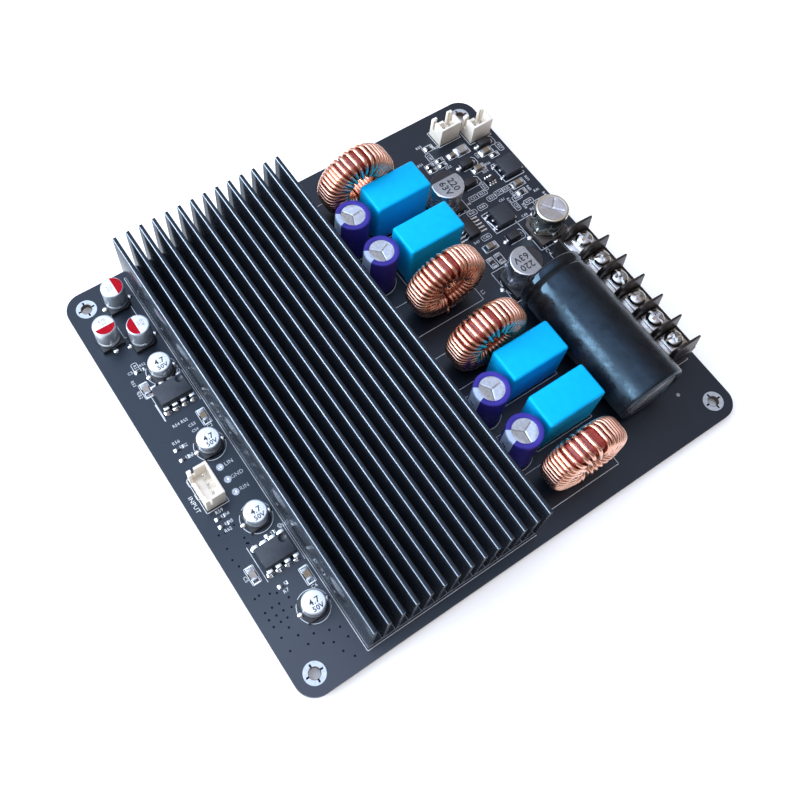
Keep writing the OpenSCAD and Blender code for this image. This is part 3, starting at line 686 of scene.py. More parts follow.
def winding(xc, yc, seed, near, ex):
    """One wire wound round the ring; `near` holds the turns seen from above, the rest lie close together."""
    rnd = random.Random(seed)
    zc, step = 14.2, 6.6
    th = list(near)
    while th[0] - step > -177:
        th.insert(0, th[0] - step)
    while th[-1] + step < 177:
        th.append(th[-1] + step)
    th = [a + rnd.uniform(-0.35, 0.35) for a in th]
    n = len(th)
    th.append(th[-1] + step)
    ro, hx, c = 11.2, 3.70, 2.2
    path = []

    def run(pts, a0, a1):
        length = [0.0]
        for p, q in zip(pts, pts[1:]):
            length.append(length[-1] + math.dist(p, q))
        for p, l in zip(pts, length):
            a = math.radians(a0 + (a1 - a0) * l / length[-1])
            path.append((xc + p[1], yc + p[0] * math.sin(a), zc + p[0] * math.cos(a)))

    path += [(xc - 3.75, yc, DROP), (xc - 3.75, yc, 0.8), (xc - 3.70, yc - 0.1, 1.6), (xc - 3.4, yc - 0.4, 2.35), (xc - 2.7, yc - 0.8, 2.9)]
    for i in range(n):
        odd = i % 2
        ri = 4.70 if odd else 5.25
        x1 = hx + (ex if odd else 0.0)
        o = th[i]
        w = 0.5 * (o + th[i + 1])
        out = [(ro, 0.0), (ro, 0.8)] + arc(ro - c, hx - c, c, 0, 90, 6) + arc(ri + c, x1 - c, c, 90, 180, 6) + [(ri, 0.5)]
        run(out, o, w)
        back = [(ri, -0.5)] + [(r, -x) for r, x in arc(ri + c, x1 - c, c, 180, 90, 6)] + [(r, -x) for r, x in arc(ro - c, hx - c, c, 90, 0, 6)] + [(ro, -0.8)]
        run(back, w, th[i + 1])
    path += [(xc + 2.7, yc + 0.8, 2.9), (xc + 3.4, yc + 0.4, 2.35), (xc + 3.70, yc + 0.1, 1.6), (xc + 3.75, yc, 0.8), (xc + 3.75, yc, DROP)]
    return path


RING_LOOK = [
    (11, (-79, -73, -65, -58, -51, -45, -39, -30, -21.5, -10.5, 1.5, 14, 23.5, 31.5, 38.5), 0.50),
    (23, (-74, -66.5, -58.5, -51.5, -44.5, -37, -28, -19.5, -7.5, 5.5, 12, 20, 27, 33.5), 0.50),
    (37, (-77, -70.5, -63.5, -54, -46, -36, -25.5, -17, -9.5, 3.5, 11, 20, 28, 34.5), 0.50),
    (41, (-76, -69, -62, -55.5, -49, -40, -28.5, -19, -8, 9.5, 18, 26, 32.5), 0.50),
]
for i, (x, y) in enumerate(RINGS):
    m = Mesh()
    sec = arc(9.0, -1.5, 1.6, -90, 0, 6) + arc(9.0, 1.5, 1.6, 0, 90, 6) + arc(7.7, 1.5, 1.6, 90, 180, 6) + arc(7.7, -1.5, 1.6, 180, 270, 6)
    seg, v, f = 96, [], []
    k = len(sec)
    for a in range(seg):
        t = 2 * PI * a / seg
        for r, z in sec:
            w = 0.05 * noise.noise(Vector((r * math.cos(t) * 0.6 + i * 9, r * math.sin(t) * 0.6, z * 0.6)))
            v.append(((r + w) * math.cos(t), (r + w) * math.sin(t), z))
    for a in range(seg):
        for q in range(k):
            f.append((a * k + q, a * k + (q + 1) % k, ((a + 1) % seg) * k + (q + 1) % k, ((a + 1) % seg) * k + q))
    m.add(v, f, 0, Matrix.Translation((x, y, 14.2)) @ ALONG_X)
    m.piece("ring_core_%d" % (i + 1), ["core"], nodes=["inductor_core_%d" % (i + 1)], slot="core_red")
    m = Mesh()
    tube(m, winding(x, y, *RING_LOOK[i]), 0.58, 12)
    m.piece("ring_winding_%d" % (i + 1), ["copper"], nodes=["inductor_winding_%d" % (i + 1)], slot="copper_wire", sharp=60)


# ---------------------------------------------------------------- film capacitors

for i, (x, y) in enumerate(FILM):
    m = Mesh()
    rbox(m, x, y, TOP + 0.35, 10.0, 18.2, 15.65, 0.80, 6, 0)
    for sx in (-1, 1):
        for sy in (-1, 1):
            rbox(m, x + sx * 4.1, y + sy * 8.2, TOP, 1.4, 1.4, 0.6, 0.1, 1, 0)
    slab(m, x, y, TOP + 0.28, 8.4, 16.6, 0.2, 1)
    for s in (-1, 1):
        post(m, x, y + s * 7.5, 0.4, TOP + 0.4, 2)
    m.piece("film_box_%d" % (i + 1), ["film", "epoxy", "lead"], nodes=["film_capacitor_%d" % (i + 1)], slot="film_blue")


# ---------------------------------------------------------------- round cans

def scored_disc(m, r, z, at, arms, mat, dish=0.05, depth=0.14, width=0.24, reach=0.86, rings=14, seg=180):
    """Can top pressed into flat sectors between score lines; arms are the score angles in degrees."""
    arms = sorted(math.radians(a) % (2 * PI) for a in arms)
    mids = []
    for a, b in zip(arms, arms[1:] + [arms[0] + 2 * PI]):
        mids.append((a + b) / 2)
    v = [(0, 0, z - depth - dish * r * 0.5)]
    f = []
    for k in range(1, rings + 1):
        rr = r * k / rings
        for q in range(seg):
            t = 2 * PI * q / seg
            x, y = rr * math.cos(t), rr * math.sin(t)
            zz = z
            if dish:
                along = max(x * math.cos(b) + y * math.sin(b) for b in mids)
                zz -= dish * max(0.0, r * 0.80 - along) * 0.6
            for a in arms:
                u = x * math.cos(a) + y * math.sin(a)
                d = abs(-x * math.sin(a) + y * math.cos(a))
                if 0 < u < r * reach and d < width:
                    zz -= depth * (0.5 + 0.5 * math.cos(PI * d / width))
            v.append((x, y, zz))
    for q in range(seg):
        f.append((0, 1 + q, 1 + (q + 1) % seg))
    for k in range(rings - 1):
        for q in range(seg):
            a, b = 1 + k * seg + q, 1 + k * seg + (q + 1) % seg
            f.append((a, a + seg, b + seg, b))
    # closed underneath, so the disc is a thin plate
    o = len(v)
    v.append((0, 0, z - 0.9))
    v += [(r * math.cos(2 * PI * q / seg), r * math.sin(2 * PI * q / seg), z - 0.9) for q in range(seg)]
    last = 1 + (rings - 1) * seg
    for q in range(seg):
        w = (q + 1) % seg
        f.append((o, o + 1 + w, o + 1 + q))
        f.append((last + q, o + 1 + q, o + 1 + w, last + w))
    m.add(v, f, mat, at)


for i, (x, y) in enumerate(OUT):
    m = Mesh()
    zt = TOP + 16.0
    prof = [(0, TOP + 0.25), (3.9, TOP + 0.25), (4.1, TOP + 0.1), (4.6, TOP + 0.25), (4.95, TOP + 0.7), (5.0, TOP + 1.2), (4.98, TOP + 1.9),
            (4.78, TOP + 2.15), (4.72, TOP + 2.35), (4.78, TOP + 2.55), (4.98, TOP + 2.8), (5.0, TOP + 3.2), (5.0, zt - 1.0)]
    prof += [(4.55 + 0.45 * math.cos(math.radians(a)), zt - 0.45 + 0.45 * math.sin(math.radians(a))) for a in (10, 30, 50, 70, 90)]
    prof += [(4.0, zt - 0.01), (3.62, zt - 0.05), (3.48, zt - 0.14), (3.44, zt - 0.3), (3.44, zt - 0.7), (0, zt - 0.7)]
    mid = math.radians(-100 if i != 1 else -95)

    def pick(k, a, mid=mid, n=len(prof)):
        d = (a - mid + PI) % (2 * PI) - PI
        if k < 2:
            return 3
        return 1 if abs(d) < 0.44 and 5 <= k < n - 2 else 0
    lathe(m, prof, place(x, y), 72, 0, pick)
    arms = (95, 215, 335) if i in (0, 2) else (110, 230, 350)
    scored_disc(m, 3.48, zt - 0.22, place(x, y), arms, 2, dish=0.14, depth=0.08)
    for z in (TOP + 4.6, TOP + 7.6, TOP + 10.6):
        slab(m, x + 5.0 * math.cos(mid), y + 5.0 * math.sin(mid), z, 0.06, 1.5, 0.55, 4, math.degrees(mid))
    for s in (-1, 1):
        post(m, x, y + s * 2.5, 0.3, TOP + 0.4, 5)
    m.piece("output_can_%d" % (i + 1), ["violet", "stripe", "disc", "bung", "violet", "lead"],
            nodes=["output_capacitor_%d" % (i + 1)], slot="sleeve_purple", sharp=38)


def lying_can():
    m = Mesh()
    at = Matrix.Translation((6.0, 46.1, 12.1)) @ ALONG_X
    R = 10.0
    prof = [(0, 0.75), (7.7, 0.75), (7.8, 0.5), (7.8, 0.15), (8.0, 0.0), (8.6, 0.0)]
    prof += [(R - 0.9 + 0.9 * math.sin(math.radians(a)), 0.9 - 0.9 * math.cos(math.radians(a))) for a in (20, 40, 60, 80)]
    prof += [(R, 1.3), (R, 2.3), (R - 0.12, 2.7), (R - 0.42, 3.05), (R - 0.52, 3.3), (R - 0.42, 3.55), (R - 0.12, 3.9), (R, 4.3)]
    prof += [(R, 4.3 + 36.7 * k / 18) for k in range(1, 19)]
    prof += [(R, 42.6)]
    prof += [(R - 0.9 + 0.9 * math.cos(math.radians(a)), 43.1 + 0.9 * math.sin(math.radians(a))) for a in (10, 30, 50, 70, 90)]
    prof += [(8.4, 44.0), (8.1, 43.9), (7.9, 43.7), (7.85, 43.2), (0, 43.2)]
    start = len(m.v)
    last = len(prof)
    lathe(m, prof, place(), 96, 0, lambda k, a: 1 if k < 3 else (0 if k < last - 2 else 2))
    # heat-shrunk film: very slight waves along and around the can
    out = []
    for p in m.v[start:]:
        r = math.hypot(p[0], p[1])
        if r > 9.2 and 1.0 < p[2] < 43.0:
            s = 1 + 0.0035 * noise.noise(Vector((p[0] * 0.18, p[1] * 0.18, p[2] * 0.12))) + 0.0010 * noise.noise(Vector(p) * 0.6)
            p = (p[0] * s, p[1] * s, p[2])
        out.append(p)
    m.v[start:] = [tuple(at @ Vector(p)) for p in out]
    scored_disc(m, 7.9, 43.45, at, (45, 135, 225, 315), 2, dish=0.0, depth=0.16, width=0.35, reach=0.8)
    for s in (-1, 1):
        y = 46.1 + 5.0 * s
        lathe(m, [(0, 0.4), (1.5, 0.4), (1.5, 0.55), (1.2, 0.8), (0, 0.8)], Matrix.Translation((6.0, y, 12.1)) @ ALONG_X, 24, 3)
        bend = [(7.2, y, 12.1), (6.2, y, 12.1), (5.7, y, 12.05), (5.3, y, 11.85), (5.07, y, 11.5), (5.0, y, 11.0), (5.0, y, 6.0), (5.0, y, 0.0), (5.0, y, DROP)]
        tube(m, bend, 0.5, 14, 3)
    m.piece("lying_can", ["black_sleeve", "bung", "can_top", "lead"], nodes=["bulk_capacitor"], slot="sleeve_black", sharp=40)


lying_can()


def smd_base(m, x, y, b, h, turn, mat):
    c = b * 0.2
    a = b / 2
    pts = [(-a, -a), (a, -a), (a, a - c), (a - c, a), (-a + c, a), (-a, a - c)]
    m.bm(prism_bm(pts, 0, h, 0.12, 2), mat, place(x, y, TOP, turn))


def solder_tab(m, x, y, turn, reach, mat_lead, mat_solder, w=1.0):
    """Flat tab that sticks out of the base along local +Y, in a mound of solder."""
    at = place(x, y, TOP, turn)
    m.bm(box_bm(w, 1.3, 0.22, 0.05, 1), mat_lead, at @ place(0, reach + 0.3, 0.02))
    v, f, seg, lev = [], [], 20, [(1.0, 0.0), (0.92, 0.16), (0.7, 0.34), (0.38, 0.46)]
    for s, z in lev:
        for k in range(seg):
            t = 2 * PI * k / seg
            v.append((0.85 * w * s * math.cos(t), reach + 0.75 + 0.95 * s * math.sin(t), z))
    v.append((0, reach + 0.75, 0.49))
    for q in range(len(lev) - 1):
        for k in range(seg):
            j = (k + 1) % seg
            f.append((q * seg + k, q * seg + j, (q + 1) * seg + j, (q + 1) * seg + k))
    for k in range(seg):
        f.append(((len(lev) - 1) * seg + k, (len(lev) - 1) * seg + (k + 1) % seg, len(v) - 1))
    f.append(tuple(range(seg))[::-1])
    m.add(v, f, mat_solder, at)


def can_profile(d, h, rim=0.45):
    r = d / 2
    p = [(0, TOP + 0.9), (r - 0.45, TOP + 0.9), (r - 0.45, TOP + 1.45), (r - 0.12, TOP + 1.6), (r, TOP + 1.85), (r, TOP + 2.35), (r - 0.1, TOP + 2.55),
         (r - 0.22, TOP + 2.75), (r - 0.1, TOP + 2.95), (r, TOP + 3.15), (r, TOP + h - rim)]
    p += [(r - rim + rim * math.cos(math.radians(a)), TOP + h - rim + rim * math.sin(math.radians(a))) for a in (22, 45, 67, 90)]
    return p


def segment_plate(m, r, chord, z, at, mat, t=0.02, seg=40):
    """Printed circle segment on a can top, beyond a chord at `chord` along local +X."""
    a = math.acos(chord / r)
    pts = [(r * math.cos(-a + 2 * a * k / seg), r * math.sin(-a + 2 * a * k / seg)) for k in range(seg + 1)]
    m.bm(prism_bm(pts, z, z + t), mat, at)


def print_can(name, x, y, d, h, b, turn, side, top, node, base="base", tabs=1.0):
    m = Mesh()
    prof = can_profile(d, h) + [(0, TOP + h)]
    n = len(prof)
    lathe(m, prof, place(x, y), 64, 0, lambda k, a: 1 if k >= n - 2 else 0)
    smd_base(m, x, y, b, 1.3, turn, 2)
    for t in (0, 180):
        solder_tab(m, x, y, turn + t, b / 2 - 0.3, 3, 4, tabs)
    return m


for i, (x, y) in enumerate(COUP):
    m = print_can("", x, y, 6.3, 5.6, 6.6, 0, "can", "white_top", "")
    at = place(x, y, TOP + 5.6)
    letters(m, "4.7", 0.0, 0.1, 0.0, 2.15, 90, 5, 0.014, at, 0.05)
    letters(m, "50V", 1.75, 0.2, 0.0, 1.8, 90, 5, 0.014, at, 0.045)
    m.piece("coupling_can_%d" % (i + 1), ["can_pale", "white_top", "base", "lead", "solder", "black_print"],
            nodes=["coupling_capacitor_%d" % (i + 1)], slot="can_aluminium")

for i, (x, y) in enumerate(POLY):
    turn = (90, 0, -90)[i]
    m = print_can("", x, y, 6.4, 8.8, 6.6, (0, 90, 0)[i], "can", "white_top", "")
    at = place(x, y, TOP + 8.8, turn)
    segment_plate(m, 2.86, 0.55, 0.0, at, 5)
    letters(m, "470", -1.35, 0.0, 0.0, 1.35, -90 if i != 1 else 90, 6, 0.012, at)
    letters(m, "16V", -0.15 if i == 9 else -0.25, 0.0, 0.0, 1.1, -90 if i != 1 else 90, 6, 0.012, at)
    m.piece("polymer_can_%d" % (i + 1), ["can_pale", "white_top", "base", "lead", "solder", "red_print", "grey_print"],
            nodes=["polymer_capacitor_%d" % (i + 1)], slot="can_aluminium")

for i, (x, y) in enumerate(RAIL):
    m = Mesh()
    prof = can_profile(10.0, 10.2) + [(0, TOP + 10.2)]
    n = len(prof)

    def paint(k, a, n=n, flip=i):
        if k >= n - 2:
            return 1
        d = (a - (PI if flip == 0 else PI / 2) + PI) % (2 * PI) - PI
        return 5 if k >= n - 6 and abs(d) < 1.10 else 0
    lathe(m, prof, place(x, y), 72, 0, paint)
    smd_base(m, x, y, 10.3, 1.3, 90, 2)
    for t in (0, 180):
        solder_tab(m, x, y, 90 + t, 4.85, 3, 4, 1.2)
    at = place(x, y, TOP + 10.2, (0, -90)[i])
    segment_plate(m, 4.58, 2.2, 0.0, at @ place(0, 0, 0, 180), 5)
    letters(m, "220", 0.95, 1.45, 0.0, 2.95, 0, 5, 0.014, at, 0.06)
    letters(m, "63V", 0.95, -1.45, 0.0, 2.95, 0, 5, 0.014, at, 0.06)
    m.piece("rail_can_%d" % (i + 1), ["can", "grey_top", "base", "lead", "solder", "black_print"],
            nodes=["rail_capacitor_%d" % (i + 1)], slot="can_aluminium")

m = Mesh()
x, y = SUPPLY
prof = can_profile(10.0, 10.2, 0.6)
prof += [(4.0, TOP + 10.12), (3.95, TOP + 9.7), (0, TOP + 9.7)]
lathe(m, prof, place(x, y), 80, 0)
scored_disc(m, 4.1, TOP + 10.12, place(x, y), (40, 130, 220), 1, dish=0.10, depth=0.20, width=0.34, reach=0.85)
smd_base(m, x, y, 10.3, 1.3, 90, 2)
for t in (0, 180):
    solder_tab(m, x, y, 90 + t, 4.85, 3, 4, 1.2)
m.piece("supply_can", ["mirror_can", "can_top", "base_brown", "lead", "solder"], nodes=["supply_capacitor"], slot="can_aluminium")


# ---------------------------------------------------------------- eight-pin chips

pins = Mesh()
for i, (x, y) in enumerate(AMPS):
    lev = [(2.95, 4.35, 2.1), (3.2, 4.6, 3.68), (3.2, 4.6, 3.74), (2.88, 4.42, 5.3)]
    v, f = [], []
    for hw, hl, z in lev:
        v += [(-hw, -hl, z), (hw, -hl, z), (hw, hl, z), (-hw, hl, z)]
    for k in range(len(lev) - 1):
        for q in range(4):
            f.append((4 * k + q, 4 * k + (q + 1) % 4, 4 * k + 4 + (q + 1) % 4, 4 * k + 4 + q))
    f += [(3, 2, 1, 0), tuple(4 * (len(lev) - 1) + q for q in range(4))]
    b = bmesh.new()
    vs = [b.verts.new(p) for p in v]
    for q in f:
        b.faces.new([vs[k] for k in q])
    bmesh.ops.recalc_face_normals(b, faces=b.faces[:])
    bevel(b, 0.12, 2, 25)
    ball = bmesh.new()
    bmesh.ops.create_uvsphere(ball, u_segments=32, v_segments=24, radius=1.5)
    b = cut(b, [moved(ball, place(-1.55, 3.05, 6.3))])
    m = Mesh()
    m.bm(b, 0, place(x, y))
    m.piece("amp_body_%d" % (i + 1), ["chip"], nodes=["op_amp_%d" % (i + 1)], slot="chip_black", sharp=25)
    for s in (-1, 1):
        for k in (-1.5, -0.5, 0.5, 1.5):
            yy = k * 2.54
            at = place(x, y + yy)
            pins.bm(box_bm(1.15, 1.55, 0.28, 0.07, 2), 0, at @ place(s * 3.5, 0, 3.58))
            prof = [(-0.77, 3.8), (-0.77, 2.35), (-0.25, 1.75), (-0.25, DROP + 0.2), (-0.12, DROP), (0.12, DROP), (0.25, DROP + 0.2), (0.25, 1.75), (0.77, 2.35), (0.77, 3.8)]
            leg = prism_bm(prof, -0.13, 0.13, 0.05, 2)
            # profile plane (u, w) -> (y, z), thickness along x
            leg.transform(Matrix(((0, 0, 1, 0), (1, 0, 0, 0), (0, 1, 0, 0), (0, 0, 0, 1))))
            pins.bm(leg, 0, at @ place(s * 3.92, 0))
            lathe(pins, [(0, TOP), (1.08, TOP), (1.06, TOP + 0.08), (0.80, TOP + 0.26), (0.42, TOP + 0.6), (0, TOP + 0.64)], at @ place(s * 3.81, 0), 20, 1)
pins.piece("amp_pins", ["lead", "solder"], nodes=["op_amp_leads"], slot="tinned_metal")


# ---------------------------------------------------------------- pin headers

def header(name, node, x, y, w, d, turn, pitches):
    shell = box_bm(w, d, 7.0, 0.16, 2)
    tools = [moved(box_bm(w - 1.5, d - 1.5, 7.0, 0.1, 1), place(0, 0.1, 1.5))]
    tools.append(moved(box_bm(w - 3.3, 2.4, 7.0, 0.0), place(0, -d / 2, 3.4)))
    for t in (-1, 1):
        tools.append(moved(box_bm(0.9, 2.4, 7.0, 0.0), place(t * (w / 2 - 2.1), -d / 2, 1.9)))
        tools.append(moved(box_bm(2.4, 0.85, 7.0, 0.0), place(t * w / 2, -d / 2 + 1.6, 3.2)))
    b = cut(shell, tools)
    m = Mesh()
    m.bm(b, 0, place(x, y, TOP, turn))
    m.piece(name, ["ivory"], nodes=[node], slot="header_ivory", sharp=28)


def header_pins(m, x, y, turn, pitches):
    for k in pitches:
        lev = [(0.12, DROP), (0.32, DROP + 0.35), (0.32, TOP + 5.0), (0.14, TOP + 5.4)]
        v, f = [], []
        for h, z in lev:
            v += [(-h, -h, z), (h, -h, z), (h, h, z), (-h, h, z)]
        for q in range(3):
            for c in range(4):
                f.append((4 * q + c, 4 * q + (c + 1) % 4, 4 * q + 4 + (c + 1) % 4, 4 * q + 4 + c))
        f += [(3, 2, 1, 0), (12, 13, 14, 15)]
        m.add(v, f, 0, place(x, y, 0, turn) @ place(k * 2.5, 0.5))


header("input_shell", "input_header", HEADER[0], HEADER[1], 9.9, 5.75, 0, (-1, 0, 1))
m = Mesh()
header_pins(m, HEADER[0], HEADER[1], 0, (-1, 0, 1))
m.piece("input_pins", ["lead"], nodes=["input_header_pins"], slot="tinned_metal")
m = Mesh()
for i, (x, y) in enumerate(AUX):
    header("aux_shell_%d" % (i + 1), "aux_header_%d" % (i + 1), x, y, 7.4, 5.75, -90, (-0.5, 0.5))
    header_pins(m, x, y, -90, (-0.5, 0.5))
m.piece("aux_pins", ["lead"], nodes=["aux_header_pins"], slot="tinned_metal")


# ---------------------------------------------------------------- screw terminals

def terminal_block():
    m = Mesh()
    base = moved(box_bm(47.72, 10.3, 7.8, 0.25, 2), place(21.1, 62.75, TOP))
    tools = [cyl_bm(1.9, 3.8, 12.0, 28, x, 62.9) for x in WAYS]
    tools += [moved(box_bm(1.0, 0.8, 12.0, 0), place(x, 60.0, 0.0)) for x in WAYS]
    m.bm(cut(base, tools))
    side = [(58.2, 8.4), (58.2, 12.4), (59.2, 14.55), (59.7, 14.95), (60.3, 15.08), (67.1, 14.9), (67.6, 14.75), (67.85, 14.45), (67.9, 14.1), (67.9, 8.4)]
    for x in WALLS:
        b = prism_bm(side, -1.0, 1.0)
        b.transform(Matrix(((0, 0, 1, 0), (1, 0, 0, 0), (0, 1, 0, 0), (0, 0, 0, 1))))
        bevel(b, 0.40, 4, 40)
        for v in b.verts:
            up, rear = max(0.0, (v.co.z - 9.2) / 5.8), (v.co.y - 58.2) / 9.7
            v.co.x *= (0.96 - 0.34 * up) * (1 - 0.62 * up * rear)
        m.bm(b, 0, place(x, 0, 0))
    m.piece("terminal_moulding_block", ["terminal"], nodes=["terminal_block"], slot="terminal_black", sharp=30)


terminal_block()

m = Mesh()
for x in WAYS:
    plate = moved(box_bm(5.4, 8.6, 0.8, 0.14, 2), place(x, 62.1, 9.4))
    m.bm(cut(plate, [cyl_bm(1.55, 8.0, 12.0, 28, x, 62.9)]))
    rbox(m, x, 60.0, DROP, 1.0, 0.8, 11.3, 0.12, 2)
m.piece("terminal_plates", ["plate"], nodes=["terminal_contacts"], slot="plated_metal", sharp=28)

SLOTS = (20, 65, -15, 40, 10, 75)
for i, x in enumerate(WAYS):
    m = Mesh()
    b = box_bm(5.2, 5.6, 0.7, 0.13, 2)
    b = cut(b, [cyl_bm(1.58, -1.0, 2.0, 28)])
    m.bm(b, 0, place(x, 62.9, 10.2))
    m.piece("clamp_plate_%d" % (i + 1), ["plate"], body="clamp_%d" % (i + 1), nodes=["terminal_clamp_%d" % (i + 1)], slot="plated_metal", sharp=28)
    t = Mesh()
    prof = [(0, -6.5), (1.1, -6.5), (1.5, -6.1)]
    z = -6.1
    while z < -0.7:
        prof += [(1.5, z + 0.10), (1.28, z + 0.30), (1.5, z + 0.50)]
        z += 0.5
    prof += [(1.5, 0.0), (2.3, 0.0), (2.44, 0.06), (2.5, 0.2), (2.5, 0.85), (2.44, 1.0)]
    prof += [(2.36 * math.cos(math.radians(a)), 1.06 + 0.74 * math.sin(math.radians(a))) for a in (10, 25, 40, 55, 70, 82)]
    prof.append((0, 1.8))
    lathe(t, prof, place(), 40)
    b = bmesh.new()
    vs = [b.verts.new(p) for p in t.v]
    for f in t.f:
        b.faces.new([vs[q] for q in f])
    bmesh.ops.recalc_face_normals(b, faces=b.faces[:])
    b = cut(b, [moved(box_bm(6.0, 0.75, 3.0, 0), place(0, 0, 0.95, SLOTS[i])), moved(box_bm(0.85, 3.1, 3.0, 0), place(0, 0, 0.7, SLOTS[i]))])
    m = Mesh()
    m.bm(b, 0, place(x, 62.9, 10.9))
    m.piece("clamp_screw_%d" % (i + 1), ["screw"], body="screw_%d" % (i + 1), nodes=["terminal_screw_%d" % (i + 1)], slot="plated_metal", sharp=30)


# ---------------------------------------------------------------- chip parts

RES = [(-53.6, 49.2, 1.25, 2), (-48, 49.4, 0.8, 1.6), (-46.1, 49.2, 0.8, 1.6), (-47.8, 45.6, 0.8, 1.6), (-46.1, 45.5, 0.8, 1.6),
       (-40.9, 65.5, 0.8, 1.6), (-25.1, 63.9, 1.25, 2), (-9.8, 43.7, 2, 1.25), (-9.7, 40.8, 2, 1.25),
       (-33.9, -62.4, 0.8, 1.6), (-8.5, -64.5, 0.8, 1.6), (-5.3, -64.6, 0.8, 1.6), (13.5, -65, 0.8, 1.6), (15.7, -65.2, 0.8, 1.6),
       (36.7, -60.7, 0.8, 1.6), (24, -56.7, 0.8, 1.6)]
CER = [(-47.5, 57.7, 2.5, 3.2), (-47.4, 54, 1.25, 2), (-43.2, 63.9, 1.6, 3.2), (-39.2, 58, 1.6, 3.2), (-28.3, 64.9, 1.6, 3.2), (-14.4, 43.7, 1.6, 3.2),
       (-27.9, -63.5, 3.2, 1.6), (-13, -54.3, 3.2, 1.6), (30.6, -65.6, 3.2, 1.6), (37.9, -54.2, 3.2, 1.6)]


def chip_part(m, x, y, wx, wy, h, body, end, sold, seed):
    """Two-ended chip along its longer side: body, wrapped ends, solder wedges on both pads."""
    turn = 0.0 if wx > wy else 90.0
    ln, wd = max(wx, wy), min(wx, wy)
    turn += random.Random(seed).uniform(-2.0, 2.0)
    at = place(x, y, TOP, turn)
    t = 0.22 * ln
    m.bm(box_bm(ln - 2 * t + 0.1, wd, h, 0.04, 1), body, at @ place(0, 0, 0.03))
    for s in (-1, 1):
        m.bm(box_bm(t, wd + 0.03, h + 0.03, 0.07, 2), end, at @ place(s * (ln - t) / 2, 0, 0.02))
        r = min(0.55, 0.3 + h * 0.3)
        w = wd * 0.55
        lo, hi = s * ln / 2, s * (ln / 2 + r)
        v = [(lo, -w, 0), (hi, -w, 0), (hi, w, 0), (lo, w, 0), (lo, -w * 0.85, h * 0.75), (lo, w * 0.85, h * 0.75),
             (lo + s * r * 0.35, -w * 0.9, h * 0.3), (lo + s * r * 0.35, w * 0.9, h * 0.3)]
        f = [(0, 1, 2, 3), (0, 3, 5, 4), (4, 5, 7, 6), (6, 7, 2, 1), (0, 4, 6, 1), (3, 2, 7, 5)]
        m.add(v, f, sold, at)
        m.bm(box_bm(t + r + 0.25, wd * 1.2, 0.03, 0), sold, at @ place(s * (ln / 2 - t / 2 + r / 2 + 0.05), 0, 0.0))


m = Mesh()
for i, p in enumerate(RES):
    chip_part(m, *p, 0.5, 0, 1, 2, 100 + i)
m.piece("resistor_chips", ["resistor", "tin", "solder"], nodes=["chip_resistors"], slot="chip_black")
m = Mesh()
for i, p in enumerate(CER):
    chip_part(m, *p, 1.2 if i not in (1,) else 0.9, 3 if i in (0, 6, 8) else 0, 1, 2, 200 + i)
m.piece("ceramic_chips", ["ceramic", "tin", "solder", "ceramic_grey"], nodes=["chip_capacitors"], slot="ceramic_tan")

m = Mesh()
for x, y in [(-42.2, 55.2), (-45.9, 64.8), (-35.9, 51.7), (-13.3, 51.2)]:
    lev = [(1.22, 2.05, 0.15), (1.3, 2.15, 1.1), (1.12, 1.95, 2.15)]
    v, f = [], []
    for hw, hl, z in lev:
        v += [(-hw, -hl, z), (hw, -hl, z), (hw, hl, z), (-hw, hl, z)]
    for k in range(2):
        for q in range(4):
            f.append((4 * k + q, 4 * k + (q + 1) % 4, 4 * k + 4 + (q + 1) % 4, 4 * k + 4 + q))
    f += [(3, 2, 1, 0), (8, 9, 10, 11)]
    b = bmesh.new()
    vs = [b.verts.new(p) for p in v]
    for q in f:
        b.faces.new([vs[k] for k in q])
    bevel(b, 0.1, 2, 10)
    m.bm(b, 0, place(x, y, TOP))
    for s in (-1, 1):
        rbox(m, x, y + s * 2.2, TOP + 0.02, 1.4, 0.9, 0.22, 0.06, 2, 1)
        rbox(m, x, y + s * 2.18, TOP + 0.02, 1.4, 0.2, 1.1, 0.06, 2, 1)
        lev2 = [(1.0, 0.0), (0.93, 0.18), (0.72, 0.40), (0.4, 0.55)]
        v, f, seg = [], [], 20
        for k, z in lev2:
            v += [(0.95 * k * math.cos(2 * PI * q / seg), s * 2.75 + 0.75 * k * math.sin(2 * PI * q / seg), z) for q in range(seg)]
        v.append((0, s * 2.75, 0.6))
        for k in range(3):
            for q in range(seg):
                f.append((k * seg + q, k * seg + (q + 1) % seg, (k + 1) * seg + (q + 1) % seg, (k + 1) * seg + q))
        f += [(3 * seg + q, 3 * seg + (q + 1) % seg, len(v) - 1) for q in range(seg)] + [tuple(range(seg))[::-1]]
        m.add(v, f, 2, place(x, y, TOP))
m.piece("diode_bodies", ["chip_dark", "lead", "solder"], nodes=["diodes"], slot="chip_black")

m = Mesh()
for x, y in [(-34.6, 66.1), (-21.0, 52.9)]:
    pts = [(-3.25, -3.05), (3.25, -3.05), (3.25, 2.3), (2.5, 3.05), (-2.5, 3.05), (-3.25, 2.3)]
    m.bm(prism_bm(pts, 0.05, 2.3, 0.16, 3), 0, place(x, y, TOP))
    rbox(m, x, y + 3.3, TOP, 5.2, 1.4, 0.5, 0.08, 2, 1)
    for s in (-1, 1):
        rbox(m, x + s * 2.28, y - 3.5, TOP + 0.7, 0.6, 1.0, 0.4, 0.08, 2, 1)
        rbox(m, x + s * 2.28, y - 3.85, TOP + 0.02, 0.6, 0.3, 1.05, 0.08, 2, 1)
        rbox(m, x + s * 2.28, y - 4.15, TOP + 0.02, 0.6, 0.7, 0.35, 0.08, 2, 1)
        rbox(m, x + s * 2.28, y - 4.25, TOP, 0.95, 0.8, 0.14, 0.06, 2, 2)
    rbox(m, x, y - 3.3, TOP + 0.7, 0.76, 0.7, 0.45, 0.08, 2, 1)
rbox(m, -20.15, 48.85, TOP, 4.3, 0.55, 0.3, 0.12, 3, 2, 10)
